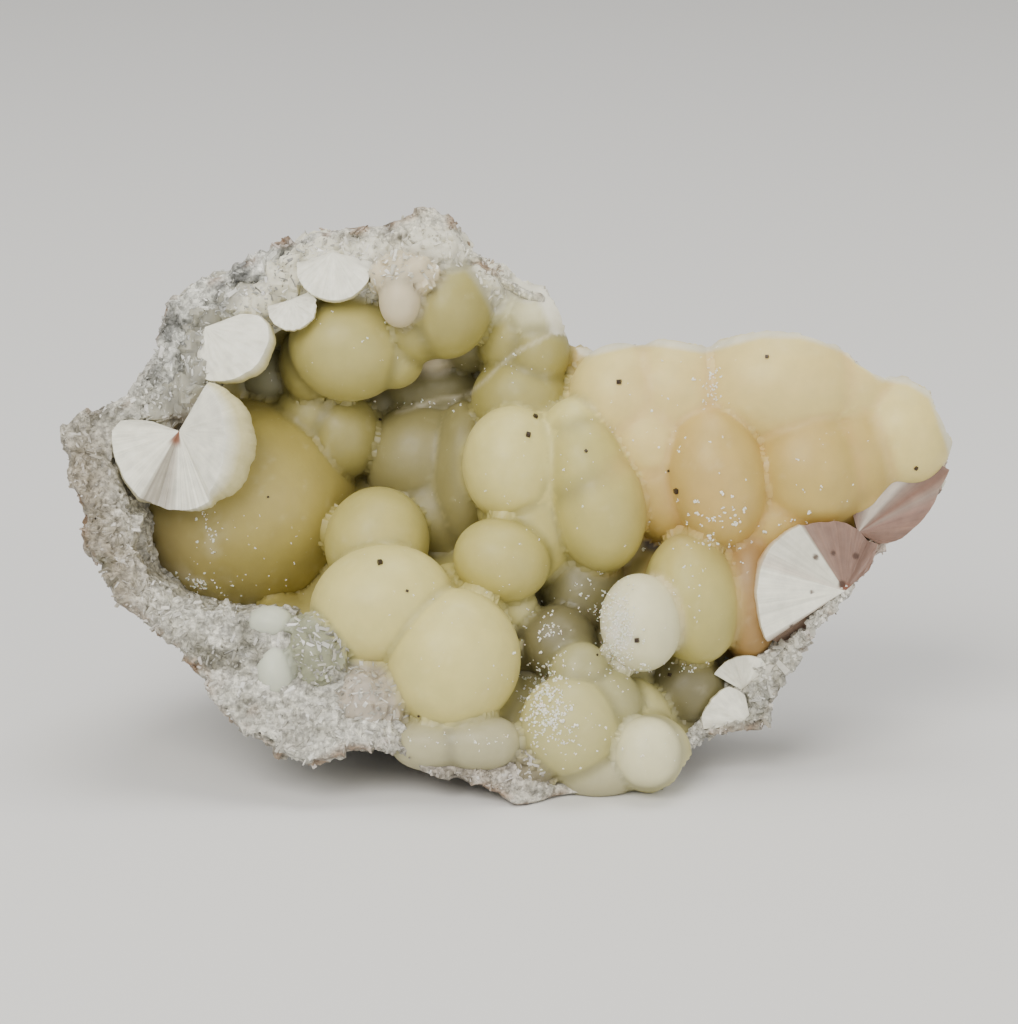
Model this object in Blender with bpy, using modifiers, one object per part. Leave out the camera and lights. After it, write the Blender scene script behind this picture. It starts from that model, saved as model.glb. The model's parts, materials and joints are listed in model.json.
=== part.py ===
"""Pectolite specimen: a crust of waxy balls that lines a broken hollow in white crystalline rock.

The specimen is laid out in millimetres in the frame of its broken face: across to the right, deep away
from the viewer, and up. That face leans back by LEAN, and the finished solids are turned upright at the end,
where the hidden lower back is cut flat for the specimen to rest on.
"""

import math

import bmesh
import bpy
from mathutils import Matrix, Vector

MM = 0.001
LEAN = math.radians(15.0)
SIGHT_DISTANCE = 450.0
SIGHT_AXIS = (0.6, 36.0)
# Middle of the upright specimen's box over the surface that it rests on
ORIGIN = (0.7, 27.4, 0.0)

CRUST_VOXEL = 0.75
ROCK_VOXEL = 0.9
FINISH_VOXEL = 0.6
CORE_INSET = 3.6
SMALLEST_CORE = 0.6
CRUST_CLEARANCE = 0.8
CRUST_TRIANGLES = 4700
ROCK_TRIANGLES = 3500

# The crust between the balls, a sheet laid through their middles
SHEET_CELL = 1.8
SHEET_WIDTH = 120.0
SHEET_HEIGHT = 84.0
SHEET_REACH = 0.9
SHEET_SINK = 0.10
SHEET_THICKNESS = 6.0
ROCK_BEHIND_SHEET = 4.2
BED_THICKNESS = 2.2

ROCK_CENTRE = (-6.0, 20.0)
BED_CENTRE = (-8.0, 36.0)
# Share of the outline's size, and share of the way from the rim's depth to the back's
BACK_RINGS = [(0.998, 0.12), (0.990, 0.28), (0.972, 0.46), (0.94, 0.64), (0.87, 0.81), (0.73, 0.93),
              (0.48, 0.99), (0.22, 1.0)]
# Share of the mouth's size, and share of the way from the mouth's depth to the bed's
BED_RINGS = [(0.985, 0.30), (0.96, 0.62), (0.91, 0.88), (0.76, 1.0), (0.50, 1.0), (0.24, 1.0)]
BACK_DEPTH = 28.5
HOLLOW_BULGE = 19.0
FLOOR_SIZE = 200.0

# Name, across, up, deep, half width, half height, turn in degrees, all from the broken face
BALLS = [
    ("ceiling_left", -20.4, 56.7, 17, 6.0, 6.5, 0),
    ("ceiling_right", -16.2, 56.2, 17.5, 5.5, 6.2, -20),
    ("ceiling_east", -8.2, 61.5, 15, 5.3, 6.0, 0),
    ("ceiling_back", -24.6, 54.3, 21, 3.5, 4.5, 0),
    ("roof_knob", -12.6, 61.2, 8.5, 2.4, 2.7, 0),
    ("arch_back_a", -4.3, 58.0, 24, 3.5, 3.5, 0),
    ("arch_back_b", -8.9, 55.2, 23, 2.3, 2.0, 0),
    ("arch_back_c", -8.7, 51.8, 27, 6.1, 3.8, 0),
    ("arch_back_d", -15.1, 49.3, 28, 3.1, 3.1, 0),
    ("arch_east_a", 0.5, 59.9, 21.5, 4.3, 5.0, 20),
    ("arch_east_b", 3.5, 56.9, 17, 3.7, 4.7, 0),
    ("arch_east_c", 2.0, 49.8, 19, 5.8, 5.3, 0),
    ("hollow_grey", -20.7, 46.4, 23.5, 4.8, 4.8, 0),
    ("hollow_grey_b", -26.2, 46.7, 27, 5.3, 5.1, 0),
    ("hollow_olive", -32.8, 36.9, 26, 14.3, 13.7, 0),
    ("hollow_dark", -29.9, 53.9, 27, 3.3, 3.3, 0),
    ("deep_olive", -10.2, 41.3, 26, 6.3, 7.9, -12),
    ("deep_olive_b", -8.2, 35.0, 26, 5.1, 5.8, 0),
    ("behind_front", -15.4, 32.8, 16, 6.2, 6.3, 0),
    ("behind_front_b", -12.8, 36.0, 19.5, 3.5, 3.3, 0),
    ("front_left", -15.1, 24.4, 9, 8.7, 7.6, 10),
    ("front_right", -5.9, 17.7, 6.5, 8.0, 8.4, -25),
    ("front_bridge", -5.2, 23.9, 12, 4.2, 3.7, 0),
    ("mid_left", 0.8, 41.9, 13, 6.2, 7.2, 0),
    ("mid_right", 11.6, 37.5, 12, 5.8, 9.0, 8),
    ("mid_base", 4.5, 33.8, 17, 5.7, 6.2, 0),
    ("mid_knob", 8.6, 47.8, 11.5, 2.0, 1.8, 0),
    ("mid_low", -0.3, 30.1, 9.5, 5.9, 5.1, -18),
    ("low_pea", 2.2, 23.6, 12, 2.0, 2.2, 0),
    ("low_pea_b", 5.6, 25.8, 17, 1.6, 1.9, 0),
    ("low_grey", 11.6, 24.8, 17, 5.5, 5.5, 0),
    ("low_grey_b", 6.4, 20.2, 11.5, 4.6, 4.4, 0),
    ("low_cream_top", 9.1, 16.7, 7, 3.0, 2.9, 0),
    ("low_cream", 8.6, 10.5, 5.5, 6.6, 5.8, 0),
    ("low_cream_east", 13.2, 12.6, 7.5, 3.0, 3.3, 0),
    ("low_white", 17.7, 7.0, 3.8, 3.9, 3.6, 20),
    ("low_skirt", 18.0, 6.1, 6.5, 4.6, 4.1, 20),
    ("low_base", 13.2, 3.8, 8, 4.2, 2.7, 0),
    ("low_dark", 23.5, 13.7, 15, 4.5, 4.2, 0),
    ("low_strip", 17.9, 12.2, 11, 2.2, 3.7, 35),
    ("egg", 16.7, 22.5, 7.4, 5.0, 6.0, 5),
    ("east_yellow", 23.1, 24.4, 12, 5.7, 8.1, 10),
    ("east_tan", 29.5, 25.3, 15.5, 3.4, 7.7, 0),
    ("fan_east", 42.4, 26.1, 12, 10.8, 10.6, 0),
    ("lobe_pear", 26.3, 39.5, 12.5, 6.0, 8.1, 8),
    ("lobe_west", 15.1, 50.7, 16, 6.1, 6.2, 0),
    ("lobe_west_b", 21.9, 51.2, 16.5, 5.5, 5.7, 0),
    ("lobe_chin", 17.7, 44.0, 17, 4.2, 5.0, 30),
    ("lobe_neck", 18.9, 38.5, 18, 3.2, 5.5, 0),
    ("lobe_top", 34.6, 50.9, 17, 9.0, 7.7, 0),
    ("lobe_top_b", 41.0, 52.0, 18.5, 6.2, 6.0, 0),
    ("lobe_east", 49.5, 45.5, 17, 5.2, 6.5, 0),
    ("lobe_tip", 53.7, 43.2, 16.5, 2.0, 2.5, 0),
    ("lobe_front", 38.0, 41.9, 14.5, 6.4, 7.2, 0),
    ("gap_ball", 9.0, 54.8, 20, 2.3, 2.0, 0),
    ("fan_west", -40.1, 46.4, 8, 9.9, 9.8, 0),
    ("rim_ball_a", -33.0, 55.9, 11, 4.4, 4.5, 0),
    ("rim_ball_b", -26.3, 61.8, 10.5, 3.4, 3.3, 0),
    ("rim_ball_c", -20.3, 66.4, 9, 4.9, 4.7, 0),
]
# Half depth of the balls that are flatter than they are wide
HALF_DEPTHS = {"fan_west": 5.6}
# Balls broken open at the rim. Each is what is left of the ball behind one or two planes, or two such
# pieces side by side. A plane is a point on it (across, up, deep) and the way that it looks.
BROKEN = {
    "fan_west": [
        [((-40.1, 46.4, 8.0), (-0.10, 0.05, -1.0))],
        [((-40.1, 46.4, 8.0), (-0.56, 0.05, -0.83)), ((-40.1, 46.4, 8.0), (-1.0, 0.0, 0.0))],
    ],
    "rim_ball_a": [[((-33.6, 56.4, 9.6), (-0.35, 0.30, -0.88))]],
    "rim_ball_b": [[((-26.7, 62.3, 9.5), (-0.30, 0.40, -0.87))]],
    "rim_ball_c": [[((-20.3, 66.9, 7.6), (0.0, 0.35, -0.94))]],
    "fan_east": [[((42.2, 25.8, 8.0), (-0.27, 0.15, -0.96)), ((42.2, 25.8, 8.0), (0.15, 0.57, -0.80))]],
}

# Rim of the rock, clockwise from the left tip: across, up and deep of the outer edge, then of the mouth
RIM = [
    (-54.7, 46.2, 6, -47.3, 44.2, 9),
    (-51.6, 48.4, 6.5, -47.0, 45.3, 9),
    (-46.2, 50.0, 7.5, -44.6, 47.5, 9.5),
    (-44.7, 52.9, 8, -41.6, 48.8, 10.5),
    (-42.7, 56.1, 9, -38.6, 50.8, 11),
    (-42.7, 59.6, 10, -37.7, 54.5, 12),
    (-40.3, 63.0, 10.5, -36.8, 58.2, 12.5),
    (-36.2, 65.0, 11, -33.6, 60.4, 13),
    (-32.5, 66.6, 11.5, -29.7, 63.2, 13.5),
    (-28.2, 69.5, 12, -25.5, 66.2, 13.5),
    (-23.9, 70.5, 12, -23.0, 68.7, 13),
    (-19.6, 70.9, 12, -19.6, 69.8, 12.5),
    (-15.3, 71.4, 12, -15.6, 67.3, 12.5),
    (-12.2, 72.8, 12, -12.8, 64.1, 12),
    (-9.5, 74.2, 12.5, -9.7, 63.2, 12),
    (-6.9, 73.0, 12, -6.9, 63.9, 13),
    (-5.2, 70.0, 12, -4.2, 64.8, 13.5),
    (-2.5, 66.7, 12, -2.0, 64.4, 13.5),
    (0.1, 65.4, 12, 0.4, 63.7, 13.5),
    (2.9, 63.3, 12.5, 2.7, 62.2, 13.5),
    (4.8, 63.7, 13, 4.4, 61.5, 14),
    (6.9, 59.7, 13.5, 5.9, 59.0, 14.5),
    (7.3, 56.4, 16, 6.7, 55.4, 17),
    (11.0, 55.9, 19, 11.0, 54.4, 19.5),
    (17.0, 57.3, 19, 17.0, 55.8, 19.5),
    (24.5, 56.2, 19.5, 24.5, 54.7, 20),
    (31.6, 58.0, 19.5, 31.7, 56.4, 20),
    (36.7, 57.9, 20, 36.4, 56.3, 20.5),
    (41.8, 56.3, 20, 41.1, 54.9, 20.5),
    (46.4, 52.8, 19.5, 45.6, 51.5, 20),
    (50.1, 52.3, 19, 49.6, 50.8, 19.5),
    (52.9, 50.4, 18, 51.9, 49.2, 18.5),
    (54.1, 46.8, 17, 53.0, 46.2, 17.5),
    (56.0, 42.5, 15.5, 54.3, 43.0, 16.5),
    (55.3, 39.7, 15, 53.7, 41.0, 16.5),
    (53.0, 36.5, 14.5, 51.2, 38.2, 16),
    (49.5, 33.2, 13.5, 47.8, 35.0, 15),
    (44.7, 30.0, 11, 43.6, 31.6, 12.5),
    (42.3, 25.5, 8.5, 40.9, 26.4, 9.5),
    (38.1, 21.6, 9, 35.1, 19.7, 10.5),
    (36.5, 17.3, 9.5, 32.1, 18.8, 11.5),
    (33.9, 14.2, 9.5, 29.3, 16.8, 12),
    (32.8, 9.6, 9, 26.8, 13.8, 12),
    (28.9, 8.9, 9.5, 24.9, 11.1, 12),
    (24.0, 8.3, 9.5, 23.3, 9.4, 11),
    (22.5, 6.9, 8, 21.0, 7.6, 9),
    (19.9, 3.4, 6, 19.0, 4.6, 7),
    (16.5, 1.8, 5, 16.0, 3.0, 6),
    (11.6, 2.0, 5, 11.4, 3.2, 6),
    (6.8, 1.4, 3.5, 5.8, 3.2, 5),
    (1.6, 0.1, 0, 0.5, 6.9, 4),
    (-2.3, 3.0, 1, -3.1, 5.8, 3.5),
    (-8.9, 4.1, 1, -8.3, 5.8, 3),
    (-11.7, 6.2, 0.8, -11.4, 8.2, 3),
    (-14.3, 7.6, 0.5, -12.8, 11.5, 3),
    (-19.1, 7.2, 0, -14.0, 14.7, 3.5),
    (-22.1, 5.8, -0.3, -17.4, 16.7, 3.5),
    (-27.5, 6.5, 0, -21.7, 17.9, 3.5),
    (-32.3, 10.2, 0.5, -24.1, 21.5, 4),
    (-35.8, 13.3, 0.8, -26.5, 23.8, 4.5),
    (-36.6, 16.5, 1, -32.0, 23.7, 5),
    (-40.8, 20.0, 1.5, -36.9, 24.6, 5),
    (-46.5, 24.8, 2, -41.1, 26.3, 5),
    (-47.5, 27.2, 2.2, -43.2, 28.2, 5.5),
    (-51.8, 31.7, 3, -45.0, 31.6, 6),
    (-51.0, 35.6, 3.5, -44.7, 35.3, 6.5),
    (-53.3, 40.1, 4.5, -45.9, 38.2, 7.5),
    (-53.7, 43.8, 5.5, -48.1, 42.1, 8),
]

# Planes that the hidden back broke along: name, across, up and deep of the plane's middle, the way that
# the broken face looks, and its width and height
BACK_BREAKS = [
    ("back_middle", (-18.0, 42.0, 43.5), (0.08, 0.22, 1.0), 60, 60),
    ("back_low_middle", (-16.0, 20.0, 42.5), (-0.05, -0.28, 1.0), 50, 40),
    ("back_west", (-46.0, 40.0, 31.0), (-0.80, 0.15, 0.60), 60, 60),
    ("back_north_west", (-35.0, 60.0, 32.0), (-0.35, 0.70, 0.65), 50, 50),
    ("back_north", (-8.0, 63.0, 33.0), (0.15, 0.80, 0.60), 40, 40),
    ("back_north_east", (9.0, 48.0, 35.0), (0.60, 0.35, 0.75), 44, 44),
    ("back_east", (30.0, 36.0, 28.3), (0.16, 0.12, 1.0), 50, 60),
    ("back_far_east", (49.0, 40.0, 25.5), (0.70, -0.10, 0.70), 34, 34),
    ("back_south_east", (24.0, 15.0, 27.0), (0.45, -0.45, 0.75), 44, 44),
    ("back_south_west", (-41.0, 20.0, 29.0), (-0.70, -0.45, 0.55), 44, 44),
]
BREAK_THICKNESS = 14.0


def at(across, up, deep):
    """A point of the broken face's frame, in metres."""
    return Vector((across, deep, up)) * MM


def bell(value, middle, width):
    return math.exp(-((value - middle) / width) ** 2)


def back_depth(across, up):
    """How deep the rock's hidden back lies: a thick left part behind the hollow, and a thin lobe."""
    return BACK_DEPTH + HOLLOW_BULGE * bell(across, -26.0, 34.0) * bell(up, 32.0, 38.0)


def bed_depth(across, up):
    """How deep the shell's inside lies, a little behind the slab that backs the crust."""
    return sheet_depth(across, up) + ROCK_BEHIND_SHEET + 1.5


def ring_points(ring, centre, share, part, depth_of, grow):
    """One ring of the loft, shrunk about a centre and pushed towards a surface."""
    points = []
    for across, up, deep in ring:
        a = centre[0] + (across - centre[0]) * share
        u = centre[1] + (up - centre[1]) * share
        d = deep + (depth_of(a, u) - deep) * part + grow
        points.append(at(a, u, d))
    return points


def moved_ring(ring, centre, outward, forward):
    """A ring moved away from a centre, and towards the viewer."""
    moved = []
    for across, up, deep in ring:
        away = Vector((across - centre[0], up - centre[1])).normalized() * outward
        moved.append((across + away.x, up + away.y, deep - forward))
    return moved


def softened(ring, rounds):
    """The ring with its corners rounded off, as they are on the rock's back."""
    for _ in range(rounds):
        ring = [
            tuple((before[k] + 2 * here[k] + after[k]) / 4 for k in range(3))
            for before, here, after in zip(ring[-1:] + ring[:-1], ring, ring[1:] + ring[:1])
        ]
    return ring


def rock_shell(name, grow=0.0):
    """The rock's block, lofted from its back over the rim and into the hollow, grown by a clearance."""
    outer = moved_ring([row[:3] for row in RIM], ROCK_CENTRE, grow, grow)
    mouth = moved_ring([row[3:] for row in RIM], BED_CENTRE, -grow, grow)
    rings = []
    for number, (share, part) in reversed(list(enumerate(BACK_RINGS))):
        ring = softened(outer, 2 * number)
        rings.append(ring_points(ring, ROCK_CENTRE, share, part, back_depth, grow))
    rings.append([at(*point) for point in outer])
    rings.append([at(*point) for point in mouth])
    for share, part in BED_RINGS:
        rings.append(ring_points(mouth, BED_CENTRE, share, part, bed_depth, -grow))

    mesh = bmesh.new()
    loops = [[mesh.verts.new(point) for point in ring] for ring in rings]
    back_tip = mesh.verts.new(at(*ROCK_CENTRE, back_depth(*ROCK_CENTRE) + grow))
    bed_tip = mesh.verts.new(at(*BED_CENTRE, bed_depth(*BED_CENTRE) - grow))
    count = len(RIM)
    for i in range(count):
        j = (i + 1) % count
        mesh.faces.new((back_tip, loops[0][i], loops[0][j]))
        mesh.faces.new((bed_tip, loops[-1][j], loops[-1][i]))
        for near, far in zip(loops, loops[1:]):
            mesh.faces.new((near[i], far[i], far[j], near[j]))
    bmesh.ops.recalc_face_normals(mesh, faces=mesh.faces)
    return as_object(mesh, name)


def as_object(mesh, name):
    data = bpy.data.meshes.new(name)
    mesh.to_mesh(data)
    mesh.free()
    return bpy.data.objects.new(name, data)


def towards(across, up, deep):
    """A direction of the broken face's frame."""
    return Vector((across, deep, up)).normalized()


def broken_ball(mesh, place, planes):
    """Add what is left of one ball behind some planes."""
    piece = bmesh.new()
    bmesh.ops.create_icosphere(piece, subdivisions=4, radius=1.0, matrix=place)
    for point, outward in planes:
        bmesh.ops.bisect_plane(
            piece, geom=[*piece.verts, *piece.edges, *piece.faces], dist=1e-7,
            plane_co=at(*point), plane_no=towards(*outward), clear_outer=True)
        bmesh.ops.holes_fill(piece, edges=[edge for edge in piece.edges if edge.is_boundary])
    holder = bpy.data.meshes.new("piece")
    piece.to_mesh(holder)
    piece.free()
    mesh.from_mesh(holder)
    bpy.data.meshes.remove(holder)


def ball_cloud(name, inset, with_broken=True):
    """Every ball as its own closed ball, smaller by the inset."""
    mesh = bmesh.new()
    for label, across, up, deep, half_width, half_height, turn in BALLS:
        half_depth = HALF_DEPTHS.get(label, (half_width + half_height) / 2)
        size = Matrix.Diagonal((half_width - inset, half_depth - inset, half_height - inset, 1 / MM)) * MM
        place = Matrix.Translation(at(across, up, deep)) @ Matrix.Rotation(math.radians(turn), 4, "Y") @ size
        if label in BROKEN:
            for planes in BROKEN[label] if with_broken else ():
                broken_ball(mesh, place, planes)
        elif min(half_width, half_height) > inset + SMALLEST_CORE:
            bmesh.ops.create_icosphere(mesh, subdivisions=4, radius=1.0, matrix=place)
    return as_object(mesh, name)


def sheet_depth(across, up):
    """Depth of the crust between the balls, drawn towards the middle of whichever whole ball is near."""
    total = 1e-9
    depth = 25.0 * total
    for label, ball_across, ball_up, deep, half_width, half_height, _ in BALLS:
        if label in BROKEN:
            continue
        radius = (half_width + half_height) / 2
        distance = math.hypot(across - ball_across, up - ball_up)
        weight = math.exp(-(distance / (SHEET_REACH * radius)) ** 2)
        total += weight
        depth += weight * (deep + SHEET_SINK * radius)
    return depth / total


def is_inside(across, up, outline):
    """Whether a point of the face lies within a closed outline."""
    inside = False
    for (a, u), (b, v) in zip(outline, outline[1:] + outline[:1]):
        if (u > up) != (v > up) and across < a + (up - u) / (v - u) * (b - a):
            inside = not inside
    return inside


def sheet(name, outline, near, far):
    """A slab within an outline that follows the crust, from one distance behind it to another."""
    mesh = bmesh.new()
    bmesh.ops.create_grid(
        mesh, x_segments=int(SHEET_WIDTH / SHEET_CELL), y_segments=int(SHEET_HEIGHT / SHEET_CELL), size=0.5)
    outside = []
    for vert in mesh.verts:
        across = vert.co.x * SHEET_WIDTH
        up = SIGHT_AXIS[1] + vert.co.y * SHEET_HEIGHT
        vert.co = at(across, up, sheet_depth(across, up) + near)
        if not is_inside(across, up, outline):
            outside.append(vert)
    bmesh.ops.delete(mesh, geom=outside, context="VERTS")
    walls = bmesh.ops.extrude_face_region(mesh, geom=list(mesh.faces))
    moved = [item for item in walls["geom"] if isinstance(item, bmesh.types.BMVert)]
    bmesh.ops.translate(mesh, verts=moved, vec=Vector((0, far - near, 0)) * MM)
    bmesh.ops.recalc_face_normals(mesh, faces=mesh.faces)
    return as_object(mesh, name)


def joined(name, objects):
    """Several closed meshes in one object, for the voxel remesh to fuse."""
    mesh = bmesh.new()
    for obj in objects:
        mesh.from_mesh(obj.data)
        bpy.data.objects.remove(obj)
    return as_object(mesh, name)


def outline_prism(name):
    """The specimen's outline seen from in front, widening away from the viewer's eye."""
    mesh = bmesh.new()
    ends = []
    for depth in (-12.0, 70.0):
        loop = []
        for across, up, deep in (row[:3] for row in RIM):
            spread = (SIGHT_DISTANCE + depth) / (SIGHT_DISTANCE + deep)
            a = SIGHT_AXIS[0] + (across - SIGHT_AXIS[0]) * spread
            u = SIGHT_AXIS[1] + (up - SIGHT_AXIS[1]) * spread
            loop.append(mesh.verts.new(at(a, u, depth)))
        ends.append(loop)
    front, back = ends
    mesh.faces.new(front)
    mesh.faces.new(list(reversed(back)))
    for i in range(len(front)):
        j = (i + 1) % len(front)
        mesh.faces.new((front[j], front[i], back[i], back[j]))
    bmesh.ops.recalc_face_normals(mesh, faces=mesh.faces)
    return as_object(mesh, name)


def break_block(name, middle, outward, width, height):
    """A block whose inner face is a plane that the specimen broke along."""
    mesh = bmesh.new()
    size = Matrix.Diagonal((width, BREAK_THICKNESS, height, 1 / MM)) * MM
    forward = Matrix.Translation(Vector((0, BREAK_THICKNESS / 2, 0)) * MM)
    turned = towards(*outward).to_track_quat("Y", "Z").to_matrix().to_4x4()
    bmesh.ops.create_cube(mesh, size=1.0, matrix=Matrix.Translation(at(*middle)) @ turned @ forward @ size)
    return as_object(mesh, name)


def floor_block(name):
    """Everything below the surface that the specimen rests on, once it stands upright."""
    mesh = bmesh.new()
    size = Matrix.Diagonal((FLOOR_SIZE, FLOOR_SIZE, FLOOR_SIZE, 1 / MM)) * MM
    down = Matrix.Translation(Vector((0, 0, -FLOOR_SIZE / 2)) * MM)
    bmesh.ops.create_cube(mesh, size=1.0, matrix=Matrix.Rotation(LEAN, 4, "X") @ down @ size)
    return as_object(mesh, name)


def fuse(obj, voxel):
    remesh = obj.modifiers.new("fuse", "REMESH")
    remesh.mode = "VOXEL"
    remesh.voxel_size = voxel * MM


def combine(obj, other, operation, solver="EXACT"):
    """Cut or clip by another solid. Two dense remeshed solids need the MANIFOLD solver."""
    boolean = obj.modifiers.new(other.name, "BOOLEAN")
    boolean.operation = operation
    boolean.solver = solver
    boolean.object = other


def apply(obj):
    """Replace the object's mesh by what its modifiers make of it."""
    bpy.context.view_layer.update()
    evaluated = obj.evaluated_get(bpy.context.evaluated_depsgraph_get())
    result = bpy.data.meshes.new_from_object(evaluated)
    obj.modifiers.clear()
    obj.data = result


def thin_out(obj, triangles):
    """Fewer faces, with the main forms kept."""
    apply(obj)
    have = sum(len(face.vertices) - 2 for face in obj.data.polygons)
    if have > triangles:
        decimate = obj.modifiers.new("thin_out", "DECIMATE")
        decimate.ratio = triangles / have
        apply(obj)


def keep_largest(obj):
    """Drop crumbs that a cut left loose, or hanging on by one edge or corner."""
    mesh = bmesh.new()
    mesh.from_mesh(obj.data)
    bmesh.ops.triangulate(mesh, faces=mesh.faces)
    unseen = set(mesh.faces)
    islands = []
    while unseen:
        island = []
        open_faces = [unseen.pop()]
        while open_faces:
            face = open_faces.pop()
            island.append(face)
            for edge in face.edges:
                for neighbour in edge.link_faces if len(edge.link_faces) == 2 else ():
                    if neighbour in unseen:
                        unseen.remove(neighbour)
                        open_faces.append(neighbour)
        islands.append(island)
    islands.sort(key=len)
    for island in islands[:-1]:
        bmesh.ops.delete(mesh, geom=island, context="FACES")
    mesh.to_mesh(obj.data)
    mesh.free()


def material(name, colour, roughness):
    made = bpy.data.materials.new(name)
    made.use_nodes = True
    shader = made.node_tree.nodes["Principled BSDF"]
    shader.inputs["Base Color"].default_value = (*colour, 1.0)
    shader.inputs["Roughness"].default_value = roughness
    return made


def finish(obj, look, collection):
    """Stand the solid upright over its origin, and give it its material and its collection."""
    obj.data.transform(Matrix.Translation(-Vector(ORIGIN) * MM) @ Matrix.Rotation(-LEAN, 4, "X"))
    obj.data.shade_flat()
    obj.data.materials.clear()
    obj.data.materials.append(look)
    for holder in list(obj.users_collection):
        holder.objects.unlink(obj)
    collection.objects.link(obj)


def collection_named(name):
    made = bpy.data.collections.new(name)
    bpy.context.scene.collection.children.link(made)
    return made


def main():
    for obj in list(bpy.data.objects):
        bpy.data.objects.remove(obj)
    parts = collection_named("pectolite_specimen")
    cutters = collection_named("cutters")

    outline = [(row[0], row[1]) for row in RIM]
    mouth = [(row[3], row[4]) for row in RIM]
    grown_mouth = [point[:2] for point in moved_ring([row[3:] for row in RIM], BED_CENTRE, 2 * SHEET_CELL, 0.0)]
    prism = outline_prism("outline_prism")
    floor = floor_block("floor_block")
    back_breaks = [break_block(*row) for row in BACK_BREAKS]
    rock_cutter = joined("rock_cutter", [
        rock_shell("grown_shell", CRUST_CLEARANCE),
        ball_cloud("grown_cores", CORE_INSET - CRUST_CLEARANCE, with_broken=False),
        sheet("grown_bed", grown_mouth, ROCK_BEHIND_SHEET - CRUST_CLEARANCE, ROCK_BEHIND_SHEET + BED_THICKNESS),
    ])
    for cutter in [prism, floor, rock_cutter, *back_breaks]:
        cutters.objects.link(cutter)
        cutter.hide_render = True
        cutter.display_type = "WIRE"
    fuse(rock_cutter, ROCK_VOXEL)

    shell = rock_shell("shell")
    parts.objects.link(shell)
    for block in back_breaks:
        combine(shell, block, "DIFFERENCE")
    apply(shell)
    rock = joined("matrix", [
        shell,
        ball_cloud("cores", CORE_INSET, with_broken=False),
        sheet("bed", mouth, ROCK_BEHIND_SHEET, ROCK_BEHIND_SHEET + BED_THICKNESS),
    ])
    parts.objects.link(rock)
    fuse(rock, ROCK_VOXEL)
    combine(rock, prism, "INTERSECT", "MANIFOLD")
    fuse(rock, FINISH_VOXEL)
    apply(rock)
    keep_largest(rock)
    thin_out(rock, ROCK_TRIANGLES)
    combine(rock, floor, "DIFFERENCE")
    apply(rock)
    keep_largest(rock)

    crust = joined("pectolite", [ball_cloud("balls", 0.0), sheet("blanket", outline, 0.0, SHEET_THICKNESS)])
    parts.objects.link(crust)
    fuse(crust, CRUST_VOXEL)
    combine(crust, prism, "INTERSECT", "MANIFOLD")
    combine(crust, rock_cutter, "DIFFERENCE", "MANIFOLD")
    fuse(crust, FINISH_VOXEL)
    apply(crust)
    keep_largest(crust)
    thin_out(crust, CRUST_TRIANGLES)

    finish(rock, material("crystalline rock", (0.55, 0.54, 0.50), 0.6), parts)
    finish(crust, material("waxy pectolite", (0.62, 0.55, 0.34), 0.35), parts)


main()
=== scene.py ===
"""Looks of the pectolite specimen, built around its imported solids.

Shapes are laid out in millimetres in the frame of the broken face: across to the right, up, and deep away
from the viewer. stood() turns such points upright into the part's own frame, in metres.
"""

import json
import math

import bmesh
import bpy
import numpy as np
from mathutils import Matrix, Vector
from mathutils.bvhtree import BVHTree

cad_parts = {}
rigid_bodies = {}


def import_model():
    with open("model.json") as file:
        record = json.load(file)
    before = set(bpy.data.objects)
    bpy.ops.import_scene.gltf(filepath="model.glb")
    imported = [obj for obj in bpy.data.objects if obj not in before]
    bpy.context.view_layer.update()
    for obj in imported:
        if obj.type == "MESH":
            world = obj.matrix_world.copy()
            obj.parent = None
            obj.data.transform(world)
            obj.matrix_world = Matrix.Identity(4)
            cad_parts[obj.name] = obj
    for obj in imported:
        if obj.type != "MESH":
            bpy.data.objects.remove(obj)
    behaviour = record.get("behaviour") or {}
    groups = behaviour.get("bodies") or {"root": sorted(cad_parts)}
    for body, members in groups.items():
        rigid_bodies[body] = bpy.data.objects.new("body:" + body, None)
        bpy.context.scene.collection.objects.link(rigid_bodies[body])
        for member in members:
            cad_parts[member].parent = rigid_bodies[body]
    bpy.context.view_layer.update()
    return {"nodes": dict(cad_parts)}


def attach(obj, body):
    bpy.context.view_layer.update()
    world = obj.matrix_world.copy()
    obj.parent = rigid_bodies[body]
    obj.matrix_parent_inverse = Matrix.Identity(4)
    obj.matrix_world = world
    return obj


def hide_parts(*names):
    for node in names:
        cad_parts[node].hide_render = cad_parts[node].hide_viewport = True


for leftover in list(bpy.data.objects):
    bpy.data.objects.remove(leftover)
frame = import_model()

MM = 0.001
LEAN = math.radians(15.0)
ORIGIN = np.array([0.7, 27.4, 0.0])
SIGHT_DISTANCE = 450.0
SIGHT_AXIS = (0.6, 36.0)
SIGHT_STEP = 0.12
SIGHT_MIDDLE = (509.0, 512.0)

# Sizes of the remeshed cells in mm, and how the fused surface is fitted to the balls and then eased
CRUST_VOXEL = 0.50
ROCK_VOXEL = 0.54
FIT_ROUNDS = 5
FIT_STEP = 0.3
SKIN_INSIDE = 0.8
SKIN_OUTSIDE = 2.0
EASE_ROUNDS = 8
CREASE_REACH = 0.35
CUT_INSIDE = 0.35

# The crust between the balls
SHEET_CELL = 0.6
SHEET_WIDTH = 120.0
SHEET_HEIGHT = 84.0
SHEET_REACH = 0.9
SHEET_SINK = 0.4
SHEET_SINK_MOST = 3.0
SHEET_THICKNESS = 4.0
SHEET_STEP = 0.3

# Grains and crystals
CRYSTAL_COUNT = 9500
CRYSTAL_KINDS = 6
CUBE_SCALE = 0.66
GRAIN_SCALE = 0.75

# Rows of points in the skin behind a fan
SKIN_ROWS = 16

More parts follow.
